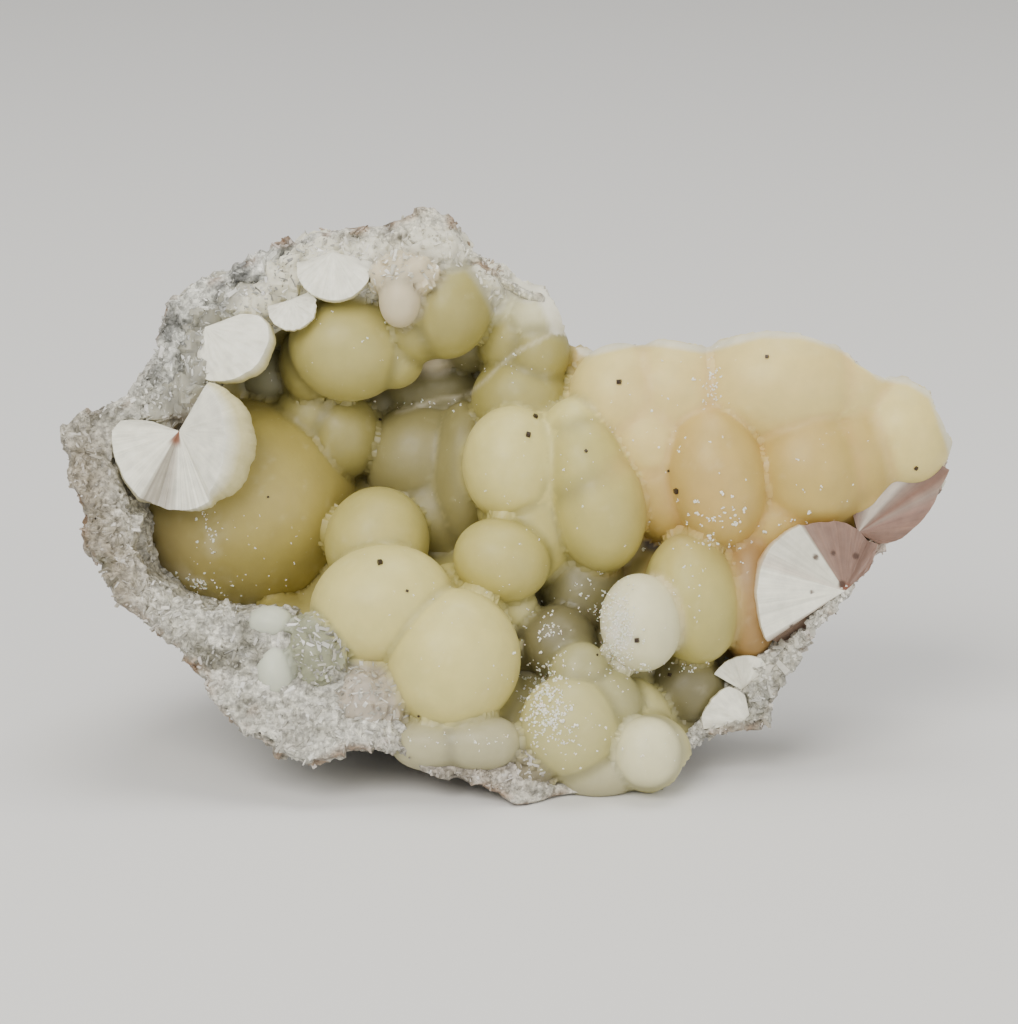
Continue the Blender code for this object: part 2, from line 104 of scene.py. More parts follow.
# Colours as a monitor shows them, 0 to 255
TINTS = {
    "olive": (163, 149, 80),
    "olive_pale": (148, 139, 80),
    "grey_olive": (139, 131, 84),
    "grey": (114, 108, 70),
    "grey_low": (112, 106, 72),
    "dark": (140, 138, 110),
    "cream": (204, 194, 123),
    "cream_green": (180, 170, 100),
    "cream_grey": (184, 177, 120),
    "low_green": (162, 157, 110),
    "ceiling": (171, 162, 97),
    "ceiling_east": (156, 147, 83),
    "wall": (196, 192, 152),
    "white": (214, 210, 170),
    "peach": (216, 199, 127),
    "peach_deep": (188, 164, 90),
    "tan": (156, 124, 72),
    "pinkish": (200, 188, 158),
    "shelf": (172, 167, 132),
    "slab": (124, 116, 92),
    "rim_grey": (158, 156, 142),
    "band_white": (192, 196, 178),
    "band_grey": (138, 140, 114),
    "band_pink": (174, 164, 148),
    "fracture": (214, 211, 192),
}

# Name, across, up, deep, half width, half height, turn in degrees, tint
BALLS = [
    ("ceiling_left", -19.5, 56.5, 17.0, 7.4, 6.7, 10, "ceiling"),
    ("ceiling_corner", -13.8, 55.0, 17.0, 3.8, 3.7, 0, "ceiling"),
    ("ceiling_east", -6.9, 61.0, 15.0, 5.2, 6.1, 12, "ceiling_east"),
    ("ceiling_fold", -10.6, 58.6, 15.4, 4.2, 4.0, -30, "ceiling_east"),
    ("ceiling_back", -24.4, 54.8, 20.0, 3.8, 5.0, 0, "olive_pale"),
    ("roof_knob", -12.8, 62.0, 10.2, 2.6, 3.4, 0, "pinkish"),
    ("roof_root", -12.2, 65.2, 11.4, 4.6, 2.8, 0, "pinkish"),
    ("arch_back_a", -4.3, 57.4, 22.5, 4.2, 3.9, 0, "grey"),
    ("arch_back_b", -9.1, 55.1, 22.5, 2.6, 2.2, 0, "pinkish"),
    ("arch_back_c", -8.9, 51.6, 26.0, 7.0, 4.2, 0, "grey"),
    ("arch_back_d", -15.1, 50.0, 27.0, 3.8, 3.8, 0, "grey_low"),
    ("arch_east_a", 1.4, 57.2, 19.0, 4.8, 4.4, -15, "ceiling_east"),
    ("arch_east_b", 4.2, 55.8, 17.6, 4.0, 4.8, 0, "ceiling_east"),
    ("wall_a", -0.2, 62.4, 19.8, 4.8, 4.4, -30, "wall"),
    ("wall_b", 4.2, 60.2, 17.6, 4.2, 4.0, -30, "wall"),
    ("arch_east_c", 2.1, 50.2, 18.8, 6.2, 5.6, 0, "ceiling_east"),
    ("hollow_grey", -20.4, 45.8, 23.0, 4.8, 5.6, -12, "olive_pale"),
    ("hollow_grey_b", -23.9, 47.8, 24.2, 5.8, 5.2, 0, "olive_pale"),
    ("hollow_olive", -32.8, 36.9, 26.0, 14.3, 13.7, 0, "olive"),
    ("hollow_dark", -29.6, 53.4, 25.0, 3.8, 3.8, 0, "dark"),
    ("deep_olive", -10.6, 42.6, 25.0, 7.2, 7.6, 0, "grey_olive"),
    ("deep_olive_b", -8.4, 35.6, 24.0, 6.6, 6.6, 0, "grey_olive"),
    ("deep_wall", -5.0, 40.6, 21.6, 4.0, 9.4, 0, "grey_olive"),
    ("behind_front", -15.8, 32.2, 15.6, 6.5, 7.0, 12, "cream_green"),
    ("front_left", -14.9, 24.4, 9.0, 8.9, 7.6, -12, "cream"),
    ("front_right", -6.2, 18.0, 6.5, 8.2, 8.7, 10, "cream"),
    ("front_bridge", -6.0, 25.4, 13.5, 4.6, 4.4, 0, "cream_green"),
    ("mid_left", 0.9, 41.9, 13.0, 6.1, 7.2, 0, "cream"),
    ("mid_fold", 4.2, 41.0, 14.6, 4.6, 7.2, 0, "cream"),
    ("mid_right", 11.7, 36.4, 12.2, 5.8, 7.9, -8, "cream_green"),
    ("mid_right_top", 10.2, 40.6, 12.4, 5.2, 7.6, -14, "cream_green"),
    ("mid_knob", 9.0, 45.0, 13.0, 4.0, 5.2, -15, "cream"),
    ("mid_base", 3.6, 34.2, 15.8, 6.4, 7.6, 0, "cream_green"),
    ("mid_low", -0.3, 30.1, 9.8, 6.0, 5.1, 18, "cream_green"),
    ("low_pea", 1.6, 24.2, 12.0, 2.6, 2.8, 0, "cream_grey"),
    ("low_pea_b", 5.2, 26.2, 17.0, 2.2, 2.4, 0, "grey_low"),
    ("low_grey", 9.9, 26.0, 16.8, 5.8, 6.2, -10, "grey"),
    ("low_grey_b", 6.6, 20.0, 11.8, 4.9, 4.6, 0, "grey_low"),
    ("low_grey_c", 2.4, 19.4, 13.0, 3.2, 3.4, 0, "grey_low"),
    ("low_cream_top", 9.2, 16.6, 7.8, 3.7, 3.6, 0, "low_green"),
    ("low_cream", 8.0, 9.9, 6.0, 6.2, 6.3, -20, "cream_grey"),
    ("low_cream_east", 13.0, 12.6, 7.8, 3.9, 4.4, -15, "low_green"),
    ("low_white", 17.4, 6.9, 4.4, 4.2, 4.3, 0, "white"),
    ("low_skirt", 17.8, 6.6, 6.9, 5.0, 4.8, 0, "cream_grey"),
    ("shelf_c", 11.4, 4.4, 7.4, 5.4, 3.4, 0, "shelf"),
    ("band_slab", 3.2, 5.2, 6.4, 3.8, 3.2, 30, "slab"),
    ("low_dark", 22.6, 14.2, 15.0, 5.0, 4.8, 0, "grey_low"),
    ("low_strip", 17.6, 12.0, 10.6, 2.4, 4.2, -35, "cream_grey"),
    ("shelf_a", -9.0, 7.8, 5.0, 4.8, 3.2, 0, "shelf"),
    ("shelf_b", -3.0, 8.0, 5.0, 5.4, 3.6, 0, "shelf"),
    ("egg", 16.7, 22.5, 7.4, 5.0, 6.0, -5, "white"),
    ("east_yellow", 23.2, 25.3, 12.2, 5.9, 8.2, -9, "cream_green"),
    ("east_tan", 30.3, 25.8, 15.2, 4.2, 8.6, 0, "tan"),
    ("lobe_pear", 26.2, 40.3, 13.4, 6.4, 9.1, -13, "peach_deep"),
    ("lobe_west", 14.4, 50.2, 16.0, 6.4, 6.8, 0, "peach"),
    ("lobe_west_b", 21.0, 50.8, 16.4, 6.8, 7.0, 0, "peach"),
    ("lobe_chin", 17.8, 45.0, 16.2, 6.0, 7.2, -25, "peach"),
    ("lobe_neck", 19.4, 39.2, 17.0, 5.4, 7.2, -15, "peach_deep"),
    ("lobe_top", 34.2, 51.6, 17.0, 10.8, 8.0, 0, "peach"),
    ("lobe_top_b", 42.4, 51.4, 18.0, 7.0, 7.0, 0, "peach"),
    ("lobe_east", 49.4, 45.8, 17.0, 6.5, 7.1, 0, "peach"),
    ("lobe_front", 37.8, 41.4, 15.2, 7.4, 8.2, 0, "peach_deep"),
    ("lobe_join", 43.6, 43.4, 16.4, 6.0, 7.0, 0, "peach_deep"),
    ("lobe_hem", 44.4, 37.6, 17.4, 4.4, 4.2, 0, "peach_deep"),
    ("lobe_under", 33.6, 34.6, 17.0, 6.6, 6.4, 0, "peach_deep"),
    ("gap_ball", 9.0, 54.8, 20.0, 2.6, 2.4, 0, "peach_deep"),
    ("band_knob", -28.4, 22.4, 6.0, 2.9, 2.2, 0, "band_white"),
    ("band_ball", -27.8, 16.6, 4.5, 2.6, 3.3, 0, "band_white"),
    ("band_block", -22.8, 18.8, 6.2, 4.2, 5.0, -24, "band_grey"),
    ("band_end", -16.8, 12.8, 5.6, 4.9, 4.6, 0, "band_pink"),
    ("fill_a", -42.6, 49.0, 13.6, 4.2, 3.6, 0, "rim_grey"),
    ("fill_b", -39.4, 50.6, 13.4, 4.0, 4.0, 0, "rim_grey"),
    ("fill_c", -37.8, 52.6, 13.6, 3.2, 4.0, 0, "rim_grey"),
    ("fill_d", -38.6, 56.6, 14.8, 3.6, 4.2, 0, "rim_grey"),
    ("fill_e", -37.6, 60.6, 15.0, 3.6, 3.4, 0, "rim_grey"),
    ("fill_f", -34.4, 63.0, 15.0, 3.6, 3.0, 0, "rim_grey"),
    ("roof_a", -31.0, 61.4, 14.8, 3.6, 3.4, 0, "fracture"),
    ("roof_b", -26.6, 65.0, 15.4, 4.2, 3.6, 0, "fracture"),
    ("roof_c", -22.0, 67.0, 15.8, 5.0, 3.8, 0, "fracture"),
    ("roof_d", -16.6, 66.4, 14.6, 4.6, 4.0, 0, "fracture"),
    ("roof_e", -9.0, 67.6, 15.4, 5.2, 4.4, 0, "fracture"),
    ("roof_f", -3.4, 64.2, 16.4, 4.2, 3.8, -30, "fracture"),
]
BALL_NAMES = [row[0] for row in BALLS]
SHEET = len(BALLS)
SMOOTH_LUMPS = ("roof_knob", "band_ball", "band_knob")
ROUGH = [k for k, name in enumerate(BALL_NAMES)
         if name.startswith(("band_", "roof_", "fill_")) and name not in SMOOTH_LUMPS]
LOBES = [k for k, name in enumerate(BALL_NAMES) if name.startswith(("lobe_", "east_tan", "gap_"))]

# How softly balls flow together, in mm: seen from in front, middle, reach and softness of each soft place
SOFTNESS = 0.08
SOFT_PLACES = [
    (610, 420, 50, 110, 0.15), (720, 420, 110, 100, 0.34), (860, 430, 90, 90, 0.4), (590, 730, 80, 60, 0.24),
    (600, 640, 50, 40, 0.2), (520, 370, 45, 60, 0.14), (605, 470, 30, 80, 0.3), (400, 285, 24, 24, 0.5),
    (740, 600, 30, 60, 0.3), (430, 745, 60, 24, 0.5), (850, 500, 40, 30, 0.5), (520, 310, 50, 26, 0.5),
    (552, 455, 24, 70, 0.5), (445, 470, 26, 80, 0.6),
]

# Rim of the rock, clockwise from the left tip: across, up and deep of the outer edge
RIM = np.array([
    (-54.7, 46.2, 6), (-51.6, 48.4, 6.5), (-46.2, 50.0, 7.5), (-44.7, 52.9, 8), (-42.7, 56.1, 9),
    (-42.7, 59.6, 10), (-40.3, 63.0, 10.5), (-36.2, 65.0, 11), (-32.5, 66.6, 11.5), (-28.2, 69.5, 12),
    (-23.9, 70.5, 12), (-19.6, 70.9, 12), (-15.3, 71.4, 12), (-12.2, 72.8, 12), (-9.5, 74.2, 12.5),
    (-6.9, 73.0, 12), (-5.2, 70.0, 12), (-2.5, 66.7, 12), (0.1, 65.4, 12), (2.9, 63.3, 12.5),
    (4.8, 63.7, 13), (6.9, 59.7, 13.5), (7.3, 56.4, 16), (11.0, 55.9, 19), (17.0, 57.3, 19),
    (24.5, 56.2, 19.5), (31.6, 58.0, 19.5), (36.7, 57.9, 20), (41.8, 56.3, 20), (46.4, 52.8, 19.5),
    (50.1, 52.3, 19), (52.9, 50.4, 18), (54.1, 46.8, 17), (56.0, 42.5, 15.5), (55.3, 39.7, 15),
    (53.0, 36.5, 14.5), (49.5, 33.2, 13.5), (44.7, 30.0, 11), (42.3, 25.5, 8.5), (38.1, 21.6, 9),
    (36.5, 17.3, 9.5), (33.9, 14.2, 9.5), (32.8, 9.6, 9), (28.9, 8.9, 9.5), (24.0, 8.3, 9.5),
    (22.5, 6.9, 8), (19.9, 3.4, 6), (16.5, 1.8, 5), (11.6, 2.0, 5), (6.8, 1.4, 3.5), (1.6, 0.1, 0),
    (-2.3, 3.0, 1), (-8.9, 4.1, 1), (-11.7, 6.2, 0.8), (-14.3, 7.6, 0.5), (-19.1, 7.2, 0), (-22.1, 5.8, -0.3),
    (-27.5, 6.5, 0), (-32.3, 10.2, 0.5), (-35.8, 13.3, 0.8), (-36.6, 16.5, 1), (-40.8, 20.0, 1.5),
    (-46.5, 24.8, 2), (-47.5, 27.2, 2.2), (-51.8, 31.7, 3), (-51.0, 35.6, 3.5), (-53.3, 40.1, 4.5),
    (-53.7, 43.8, 5.5),
])

# Where small dark cubes sit, as seen from in front: x and y in steps of SIGHT_STEP, and the cube's side in mm
CUBES = [
    (535, 417, 0.75), (528, 435, 0.8), (586, 451, 0.5), (619, 382, 0.8), (677, 491, 0.85), (669, 471, 0.4),
    (380, 563, 0.85), (407, 591, 0.45), (419, 716, 0.4), (637, 640, 0.8), (670, 675, 0.6), (767, 357, 0.6),
    (916, 468, 0.6), (380, 420, 0.45), (268, 497, 0.35), (597, 655, 0.35),
]


def stood(points):
    """Points (across, up, deep) in mm, turned upright into the part's frame in metres."""
    across, up, deep = np.asarray(points, float).reshape(-1, 3).T
    turned = np.stack([across,
                       up * math.sin(LEAN) + deep * math.cos(LEAN),
                       up * math.cos(LEAN) - deep * math.sin(LEAN)], 1)
    return (turned - ORIGIN) * MM


def laid(points):
    """The other way round: points of the part's frame as (across, up, deep) in mm."""
    x, y, z = (np.asarray(points, float).reshape(-1, 3) / MM + ORIGIN).T
    return np.stack([x,
                     y * math.sin(LEAN) + z * math.cos(LEAN),
                     y * math.cos(LEAN) - z * math.sin(LEAN)], 1)


def seen_at(x, y, deep):
    """The point (across, up, deep) that shows at that place of the view from in front."""
    spread = SIGHT_STEP * (SIGHT_DISTANCE + deep) / SIGHT_DISTANCE
    return np.array([SIGHT_AXIS[0] + (x - SIGHT_MIDDLE[0]) * spread,
                     SIGHT_AXIS[1] + (SIGHT_MIDDLE[1] - y) * spread, deep])


def sight_of(points):
    """Where points (across, up, deep) show in the view from in front."""
    spread = SIGHT_STEP * (SIGHT_DISTANCE + points[:, 2]) / SIGHT_DISTANCE
    return (SIGHT_MIDDLE[0] + (points[:, 0] - SIGHT_AXIS[0]) / spread,
            SIGHT_MIDDLE[1] - (points[:, 1] - SIGHT_AXIS[1]) / spread)


def linear(colour):
    """A monitor colour as linear light."""
    share = np.asarray(colour, float) / 255.0
    return np.where(share <= 0.04045, share / 12.92, ((share + 0.055) / 1.055) ** 2.4)


def smooth_step(value, low, high):
    share = np.clip((value - low) / (high - low), 0.0, 1.0)
    return share * share * (3 - 2 * share)


def hashed(whole, seed):
    """An even random number from 0 to 1 for each whole-number point."""
    x, y, z = whole.astype(np.int64).astype(np.uint64).T
    mixed = (x * np.uint64(73856093)) ^ (y * np.uint64(19349663)) ^ (z * np.uint64(83492791))
    mixed ^= np.uint64(seed * 2654435761 + 97)
    mixed = (mixed ^ (mixed >> np.uint64(15))) * np.uint64(2246822519)
    mixed = (mixed ^ (mixed >> np.uint64(13))) * np.uint64(3266489917)
    mixed = (mixed ^ (mixed >> np.uint64(16))) & np.uint64(0xFFFFFF)
    return mixed.astype(float) / 0xFFFFFF


def noise(points, size, seed):
    """Smooth noise from -1 to 1, with lumps of that size in mm."""
    place = points / size
    whole = np.floor(place)
    part = place - whole
    part = part * part * (3 - 2 * part)
    total = np.zeros(len(points))
    for corner in np.ndindex(2, 2, 2):
        weight = np.prod(np.where(corner, part, 1 - part), axis=1)
        total += weight * hashed(whole + corner, seed)
    return total * 2 - 1


def fractal(points, size, seed, octaves=4):
    total = np.zeros(len(points))
    for octave in range(octaves):
        total += noise(points, size / 2 ** octave, seed + octave) / 2 ** octave
    return total / (2 - 2 ** (1 - octaves))


def grains(points, size, seed):
    """For each point, the way to its nearest grain's middle in grain sizes, and the grain's random numbers."""
    place = points / size
    whole = np.floor(place)
    best = np.full(len(points), 1e9)
    away = np.zeros_like(points)
    drawn = np.zeros_like(points)
    for corner in np.ndindex(3, 3, 3):
        cell = whole + np.array(corner) - 1
        random = np.stack([hashed(cell, seed + k) for k in range(3)], 1)
        offset = place - (cell + 0.15 + 0.7 * random)
        distance = (offset ** 2).sum(1)
        nearer = distance < best
        best[nearer] = distance[nearer]
        away[nearer] = offset[nearer]
        drawn[nearer] = random[nearer]
    return away, drawn


def facets(points, size, seed):
    """Heights of broken crystal faces, each grain a plane of its own tilt, about -0.5 to 0.5."""
    away, drawn = grains(points, size, seed)
    return (away * (drawn * 2 - 1)).sum(1) + (drawn[:, 0] - 0.5) * 0.35


def unit_ball(subdivisions):
    mesh = bmesh.new()
    bmesh.ops.create_icosphere(mesh, subdivisions=subdivisions, radius=1.0)
    points = np.array([vert.co for vert in mesh.verts])
    faces = np.array([[vert.index for vert in face.verts] for face in mesh.faces])
    mesh.free()
    return points, faces


def mesh_of(name, points, faces):
    """A mesh from points of the part's frame, in metres, and faces with the same number of corners each."""
    points, faces = np.asarray(points, float), np.asarray(faces, int)
    data = bpy.data.meshes.new(name)
    data.vertices.add(len(points))
    data.vertices.foreach_set("co", points.astype(np.float32).ravel())
    corners = faces.shape[1]
    data.loops.add(len(faces) * corners)
    data.loops.foreach_set("vertex_index", faces.astype(np.int32).ravel())
    data.polygons.add(len(faces))
    data.polygons.foreach_set("loop_start", np.arange(0, len(faces) * corners, corners, dtype=np.int32))
    data.update(calc_edges=True)
    data.validate()
    return data


def points_of(data):
    found = np.zeros(len(data.vertices) * 3, np.float32)
    data.vertices.foreach_get("co", found)
    return found.reshape(-1, 3).astype(float)


def normals_of(data):
    found = np.zeros(len(data.vertices) * 3, np.float32)
    data.vertex_normals.foreach_get("vector", found)
    return found.reshape(-1, 3).astype(float)


def linked(name, data):
    obj = bpy.data.objects.new(name, data)
    bpy.context.scene.collection.objects.link(obj)
    return obj


def put_points(data, placed):
    """Move a mesh's points to these places of the part's frame, in metres."""
    data.vertices.foreach_set("co", placed.astype(np.float32).ravel())
    data.update()


def stood_on_floor(points):
    """As stood(), with nothing below the floor."""
    placed = stood(points)
    placed[:, 2] = np.maximum(placed[:, 2], 0.0)
    return placed


def as_piece(name, data, look):
    """A small piece that rides the part's one body, with its look."""
    data.materials.append(look)
    piece = linked(name, data)
    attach(piece, "root")
    return piece


def paint(data, colours):
    """Colours in linear light, one per vertex."""
    layer = data.color_attributes.new("tint", "FLOAT_COLOR", "POINT")
    filled = np.concatenate([np.clip(colours, 0.0, 1.0), np.ones((len(colours), 1))], 1)
    layer.data.foreach_set("color", filled.astype(np.float32).ravel())


def apply_modifiers(obj):
    bpy.context.view_layer.update()
    made = bpy.data.meshes.new_from_object(obj.evaluated_get(bpy.context.evaluated_depsgraph_get()))
    obj.modifiers.clear()
    old = obj.data
    obj.data = made
    bpy.data.meshes.remove(old)


def remesh(obj, voxel):
    modifier = obj.modifiers.new("remesh", "REMESH")
    modifier.mode = "VOXEL"
    modifier.voxel_size = voxel * MM


def combine(obj, other, operation):
    modifier = obj.modifiers.new(other.name, "BOOLEAN")
    modifier.operation = operation
    modifier.solver = "MANIFOLD"
    modifier.object = other


def turned_by(degrees):
    """Rows that turn (across, up) as a ball's turn does."""
    cos, sin = math.cos(math.radians(degrees)), math.sin(math.radians(degrees))
    return np.array([[cos, sin, 0.0], [-sin, cos, 0.0], [0.0, 0.0, 1.0]])


def ball_frame(row):
    _, across, up, deep, half_width, half_height, turn, _ = row
    half_depth = (half_width + half_height) / 2
    radii = np.array([half_width, half_height, half_depth], float)
    return np.array([across, up, deep], float), radii, turned_by(turn)


def ball_distance(points, row):
    """Roughly how far points lie outside a ball, and which way its surface looks there."""
    centre, radii, turn = ball_frame(row)
    local = (points - centre) @ turn
    scaled = local / radii
    size = np.linalg.norm(scaled, axis=1) + 1e-9
    slope = scaled / radii
    steep = np.linalg.norm(slope, axis=1) + 1e-9
    return size * (size - 1) / steep, (slope / steep[:, None]) @ turn.T


def sheet_depth(across, up):
    """Depth of the crust between the balls."""
    total = np.full(len(across), 1e-9)
    depth = 25.0 * total
    for row in BALLS:
        radius = (row[4] + row[5]) / 2
        weight = np.exp(-((across - row[1]) ** 2 + (up - row[2]) ** 2) / (SHEET_REACH * radius) ** 2)
        total += weight
        depth += weight * (row[3] + min(SHEET_SINK * radius, SHEET_SINK_MOST))
    return depth / total


def ragged_rim(steps, amount, seed):
    """The rim's outline with small breaks between its corners."""
    after = np.roll(RIM, -1, axis=0)
    ring = np.concatenate([RIM + (after - RIM) * k / steps for k in range(steps)]).reshape(steps, len(RIM), 3)
    ring = ring.transpose(1, 0, 2).reshape(-1, 3)
    outward = ring[:, :2] - np.array([0.0, 36.0])
    outward /= np.linalg.norm(outward, axis=1)[:, None]
    shift = noise(ring, 1.7, seed) * amount + noise(ring, 0.8, seed + 1) * amount * 0.5
    ring[:, :2] += outward * shift[:, None]
    return ring


def outline_prism(name):
    """The specimen's outline seen from in front, widening away from the viewer's eye."""
    ring = ragged_rim(4, 0.28, 5)
    ends = []
    for depth in (-12.0, 70.0):
        spread = (SIGHT_DISTANCE + depth) / (SIGHT_DISTANCE + ring[:, 2])
        across = SIGHT_AXIS[0] + (ring[:, 0] - SIGHT_AXIS[0]) * spread
        up = SIGHT_AXIS[1] + (ring[:, 1] - SIGHT_AXIS[1]) * spread
        ends.append(np.stack([across, up, np.full(len(ring), depth)], 1))
    mesh = bmesh.new()
    front, back = ([mesh.verts.new(point) for point in stood(end)] for end in ends)
    mesh.faces.new(front)
    mesh.faces.new(list(reversed(back)))
    for i in range(len(front)):
        j = (i + 1) % len(front)
        mesh.faces.new((front[j], front[i], back[i], back[j]))
    bmesh.ops.recalc_face_normals(mesh, faces=mesh.faces)
    bmesh.ops.triangulate(mesh, faces=mesh.faces)
    data = bpy.data.meshes.new(name)
    mesh.to_mesh(data)
    mesh.free()
    return linked(name, data)


def add_ball(mesh, row):
    """Add one ball to a bmesh."""
    centre, radii, turn = ball_frame(row)
    made = bmesh.ops.create_icosphere(mesh, subdivisions=5, radius=1.0)
    for vert in made["verts"]:
        vert.co = stood((np.array(vert.co) * radii) @ turn.T + centre)[0]


def inside_rim(across, up):
    """Which points lie within the rim's outline."""
    inside = np.zeros(len(across), bool)
    for (a, u, _), (b, v, _) in zip(RIM, np.roll(RIM, -1, axis=0)):
        if u != v:
            crosses = ((u > up) != (v > up)) & (across < a + (up - u) / (v - u) * (b - a))
            inside ^= crosses
    return inside


def add_sheet(mesh):
    """The crust between the balls, a slab that follows their middles."""
    columns, rows = int(SHEET_WIDTH / SHEET_CELL), int(SHEET_HEIGHT / SHEET_CELL)
    a, u = np.meshgrid(np.linspace(-0.5, 0.5, columns + 1) * SHEET_WIDTH,
                       SIGHT_AXIS[1] + np.linspace(-0.5, 0.5, rows + 1) * SHEET_HEIGHT, indexing="ij")
    across, up = a.ravel(), u.ravel()
    depth = sheet_depth(across, up)
    # Behind the rock's rim the crust ends before it would come out of the rock's side
    ends = np.where(across < -24, 8.0, np.where(across < 1, 3.5, 0.0))
    within = rim_distance(np.stack([across, up, depth], 1)) > ends
    keep = (inside_rim(across, up) & within).reshape(columns + 1, rows + 1)
    near = [mesh.verts.new(point) for point in stood(np.stack([across, up, depth], 1))]
    faces = []
    for i in range(columns):
        for j in range(rows):
            if keep[i:i + 2, j:j + 2].all():
                corner = i * (rows + 1) + j
                faces.append(mesh.faces.new(
                    [near[corner], near[corner + rows + 1], near[corner + rows + 2], near[corner + 1]]))
    bmesh.ops.delete(mesh, geom=[vert for vert in near if not vert.link_faces], context="VERTS")
    walls = bmesh.ops.extrude_face_region(mesh, geom=faces)
    moved = [item for item in walls["geom"] if isinstance(item, bmesh.types.BMVert)]
    back = stood([[0, 0, SHEET_THICKNESS]])[0] - stood([[0, 0, 0]])[0]
    bmesh.ops.translate(mesh, verts=moved, vec=back)
    bmesh.ops.recalc_face_normals(mesh, faces=mesh.faces)


def crust_blank():
    """Balls and sheet fused and cut to the outline, before its surface is made exact."""
    mesh = bmesh.new()
    add_sheet(mesh)
    for row in BALLS:
        add_ball(mesh, row)
    data = bpy.data.meshes.new("pectolite_crust")
    mesh.to_mesh(data)
    mesh.free()
    crust = linked("pectolite_crust", data)
    remesh(crust, CRUST_VOXEL)
    prism = outline_prism("prism")
    combine(crust, prism, "INTERSECT")
    remesh(crust, CRUST_VOXEL)
    apply_modifiers(crust)
    bpy.data.objects.remove(prism)
    return crust


def distance_to(points, number):
    """Roughly how far points lie outside one ball or the sheet, and which way its surface looks there."""
    if number < SHEET:
        return ball_distance(points, BALLS[number])
    here = sheet_depth(points[:, 0], points[:, 1])
    across = (sheet_depth(points[:, 0] + SHEET_STEP, points[:, 1]) - here) / SHEET_STEP
    up = (sheet_depth(points[:, 0], points[:, 1] + SHEET_STEP) - here) / SHEET_STEP
    outward = np.stack([across, up, -np.ones(len(points))], 1)
    steep = np.linalg.norm(outward, axis=1)
    return (here - points[:, 2]) / steep, outward / steep[:, None]


def near_shape(points, number):
    """Numbers of the points that lie close enough to a ball or the sheet to be shaped by it."""
    if number == SHEET:
        return np.arange(len(points))
    centre, radii, _ = ball_frame(BALLS[number])
    return np.flatnonzero(np.linalg.norm(points - centre, axis=1) < radii.max() + 3.0)


def nearest_shapes(points):
    """For each point its nearest and next shape, and how far it lies outside each."""
    count = len(points)
    first, second = np.full(count, 1e9), np.full(count, 1e9)
    label, other = np.full(count, SHEET), np.full(count, SHEET)
    for number in range(SHEET + 1):
        mine = near_shape(points, number)
        distance, _ = distance_to(points[mine], number)
        nearer = distance < first[mine]
        between = ~nearer & (distance < second[mine])
        ahead, next_up = mine[nearer], mine[between]
        second[ahead], other[ahead] = first[ahead], label[ahead]
        first[ahead], label[ahead] = distance[nearer], number
        second[next_up], other[next_up] = distance[between], number
    return label, other, first, second


def softness_at(points):
    """How softly the balls flow together at each point, in mm."""
    soft = np.full(len(points), SOFTNESS)
    for x, y, wide, high, most in SOFT_PLACES:
        soft = np.maximum(soft, most * patch(points, x, y, (wide, high)) ** 0.5)
    return soft


def fused_distance(points, soft):
    """How far points lie outside all the shapes flowed together, and that distance's slope."""
    shares = [(mine, *distance_to(points[mine], number))
              for number, mine in ((number, near_shape(points, number)) for number in range(SHEET + 1))]
    least = np.full(len(points), 1e9)
    for mine, distance, _ in shares:
        least[mine] = np.minimum(least[mine], distance)
    total = np.zeros(len(points))
    slope = np.zeros_like(points)
    for mine, distance, outward in shares:
        weight = np.exp(-(distance - least[mine]) / soft[mine])
        total[mine] += weight
        slope[mine] += weight[:, None] * outward
    return least - soft * np.log(total), slope / total[:, None]


def exact_balls(data):
    """Draw the fused surface onto the true balls, flowed together softly where they meet.

    Gives the points, and which of them are the balls' skin and not a cut face.
    """
    points = laid(points_of(data))
    soft = softness_at(points)
    distance, _ = fused_distance(points, soft)
    skin = (distance > -SKIN_INSIDE) & (distance < SKIN_OUTSIDE)
    for _ in range(FIT_ROUNDS):
        distance, slope = fused_distance(points[skin], soft[skin])
        steep = np.maximum((slope ** 2).sum(1), 0.2)
        step = np.clip(distance / steep, -FIT_STEP, FIT_STEP)
        points[skin] -= step[:, None] * slope
    label, _, _, second = nearest_shapes(points)
    loose = (label == SHEET) | ~skin | (second < CREASE_REACH)
    for _ in range(EASE_ROUNDS):
        eased = points.copy()
        smooth_points(data, eased)
        points[loose] = eased[loose]
    return points, skin


def sheet_tint(points):
    """Colour of the crust between the balls, drawn from the balls around it."""
    total = np.full(len(points), 1e-9)
    colour = np.zeros((len(points), 3))
    for row in BALLS:
        radius = (row[4] + row[5]) / 2
        away = ((points - np.array(row[1:4])) ** 2).sum(1)
        weight = np.exp(-away / (1.3 * radius) ** 2)
        total += weight
        colour += weight[:, None] * linear(TINTS[row[7]])
    return colour / total[:, None]


def patch(points, x, y, reach, power=1.0):
    """How strongly points lie within a patch of the view from in front, 0 to 1."""
    seen_x, seen_y = sight_of(points)
    wide, high = reach
    return np.exp(-(((seen_x - x) / wide) ** 2 + ((seen_y - y) / high) ** 2)) ** power


def mixed(colours, share, colour):
    return colours + (linear(colour) - colours) * np.clip(share, 0.0, 1.0)[:, None]


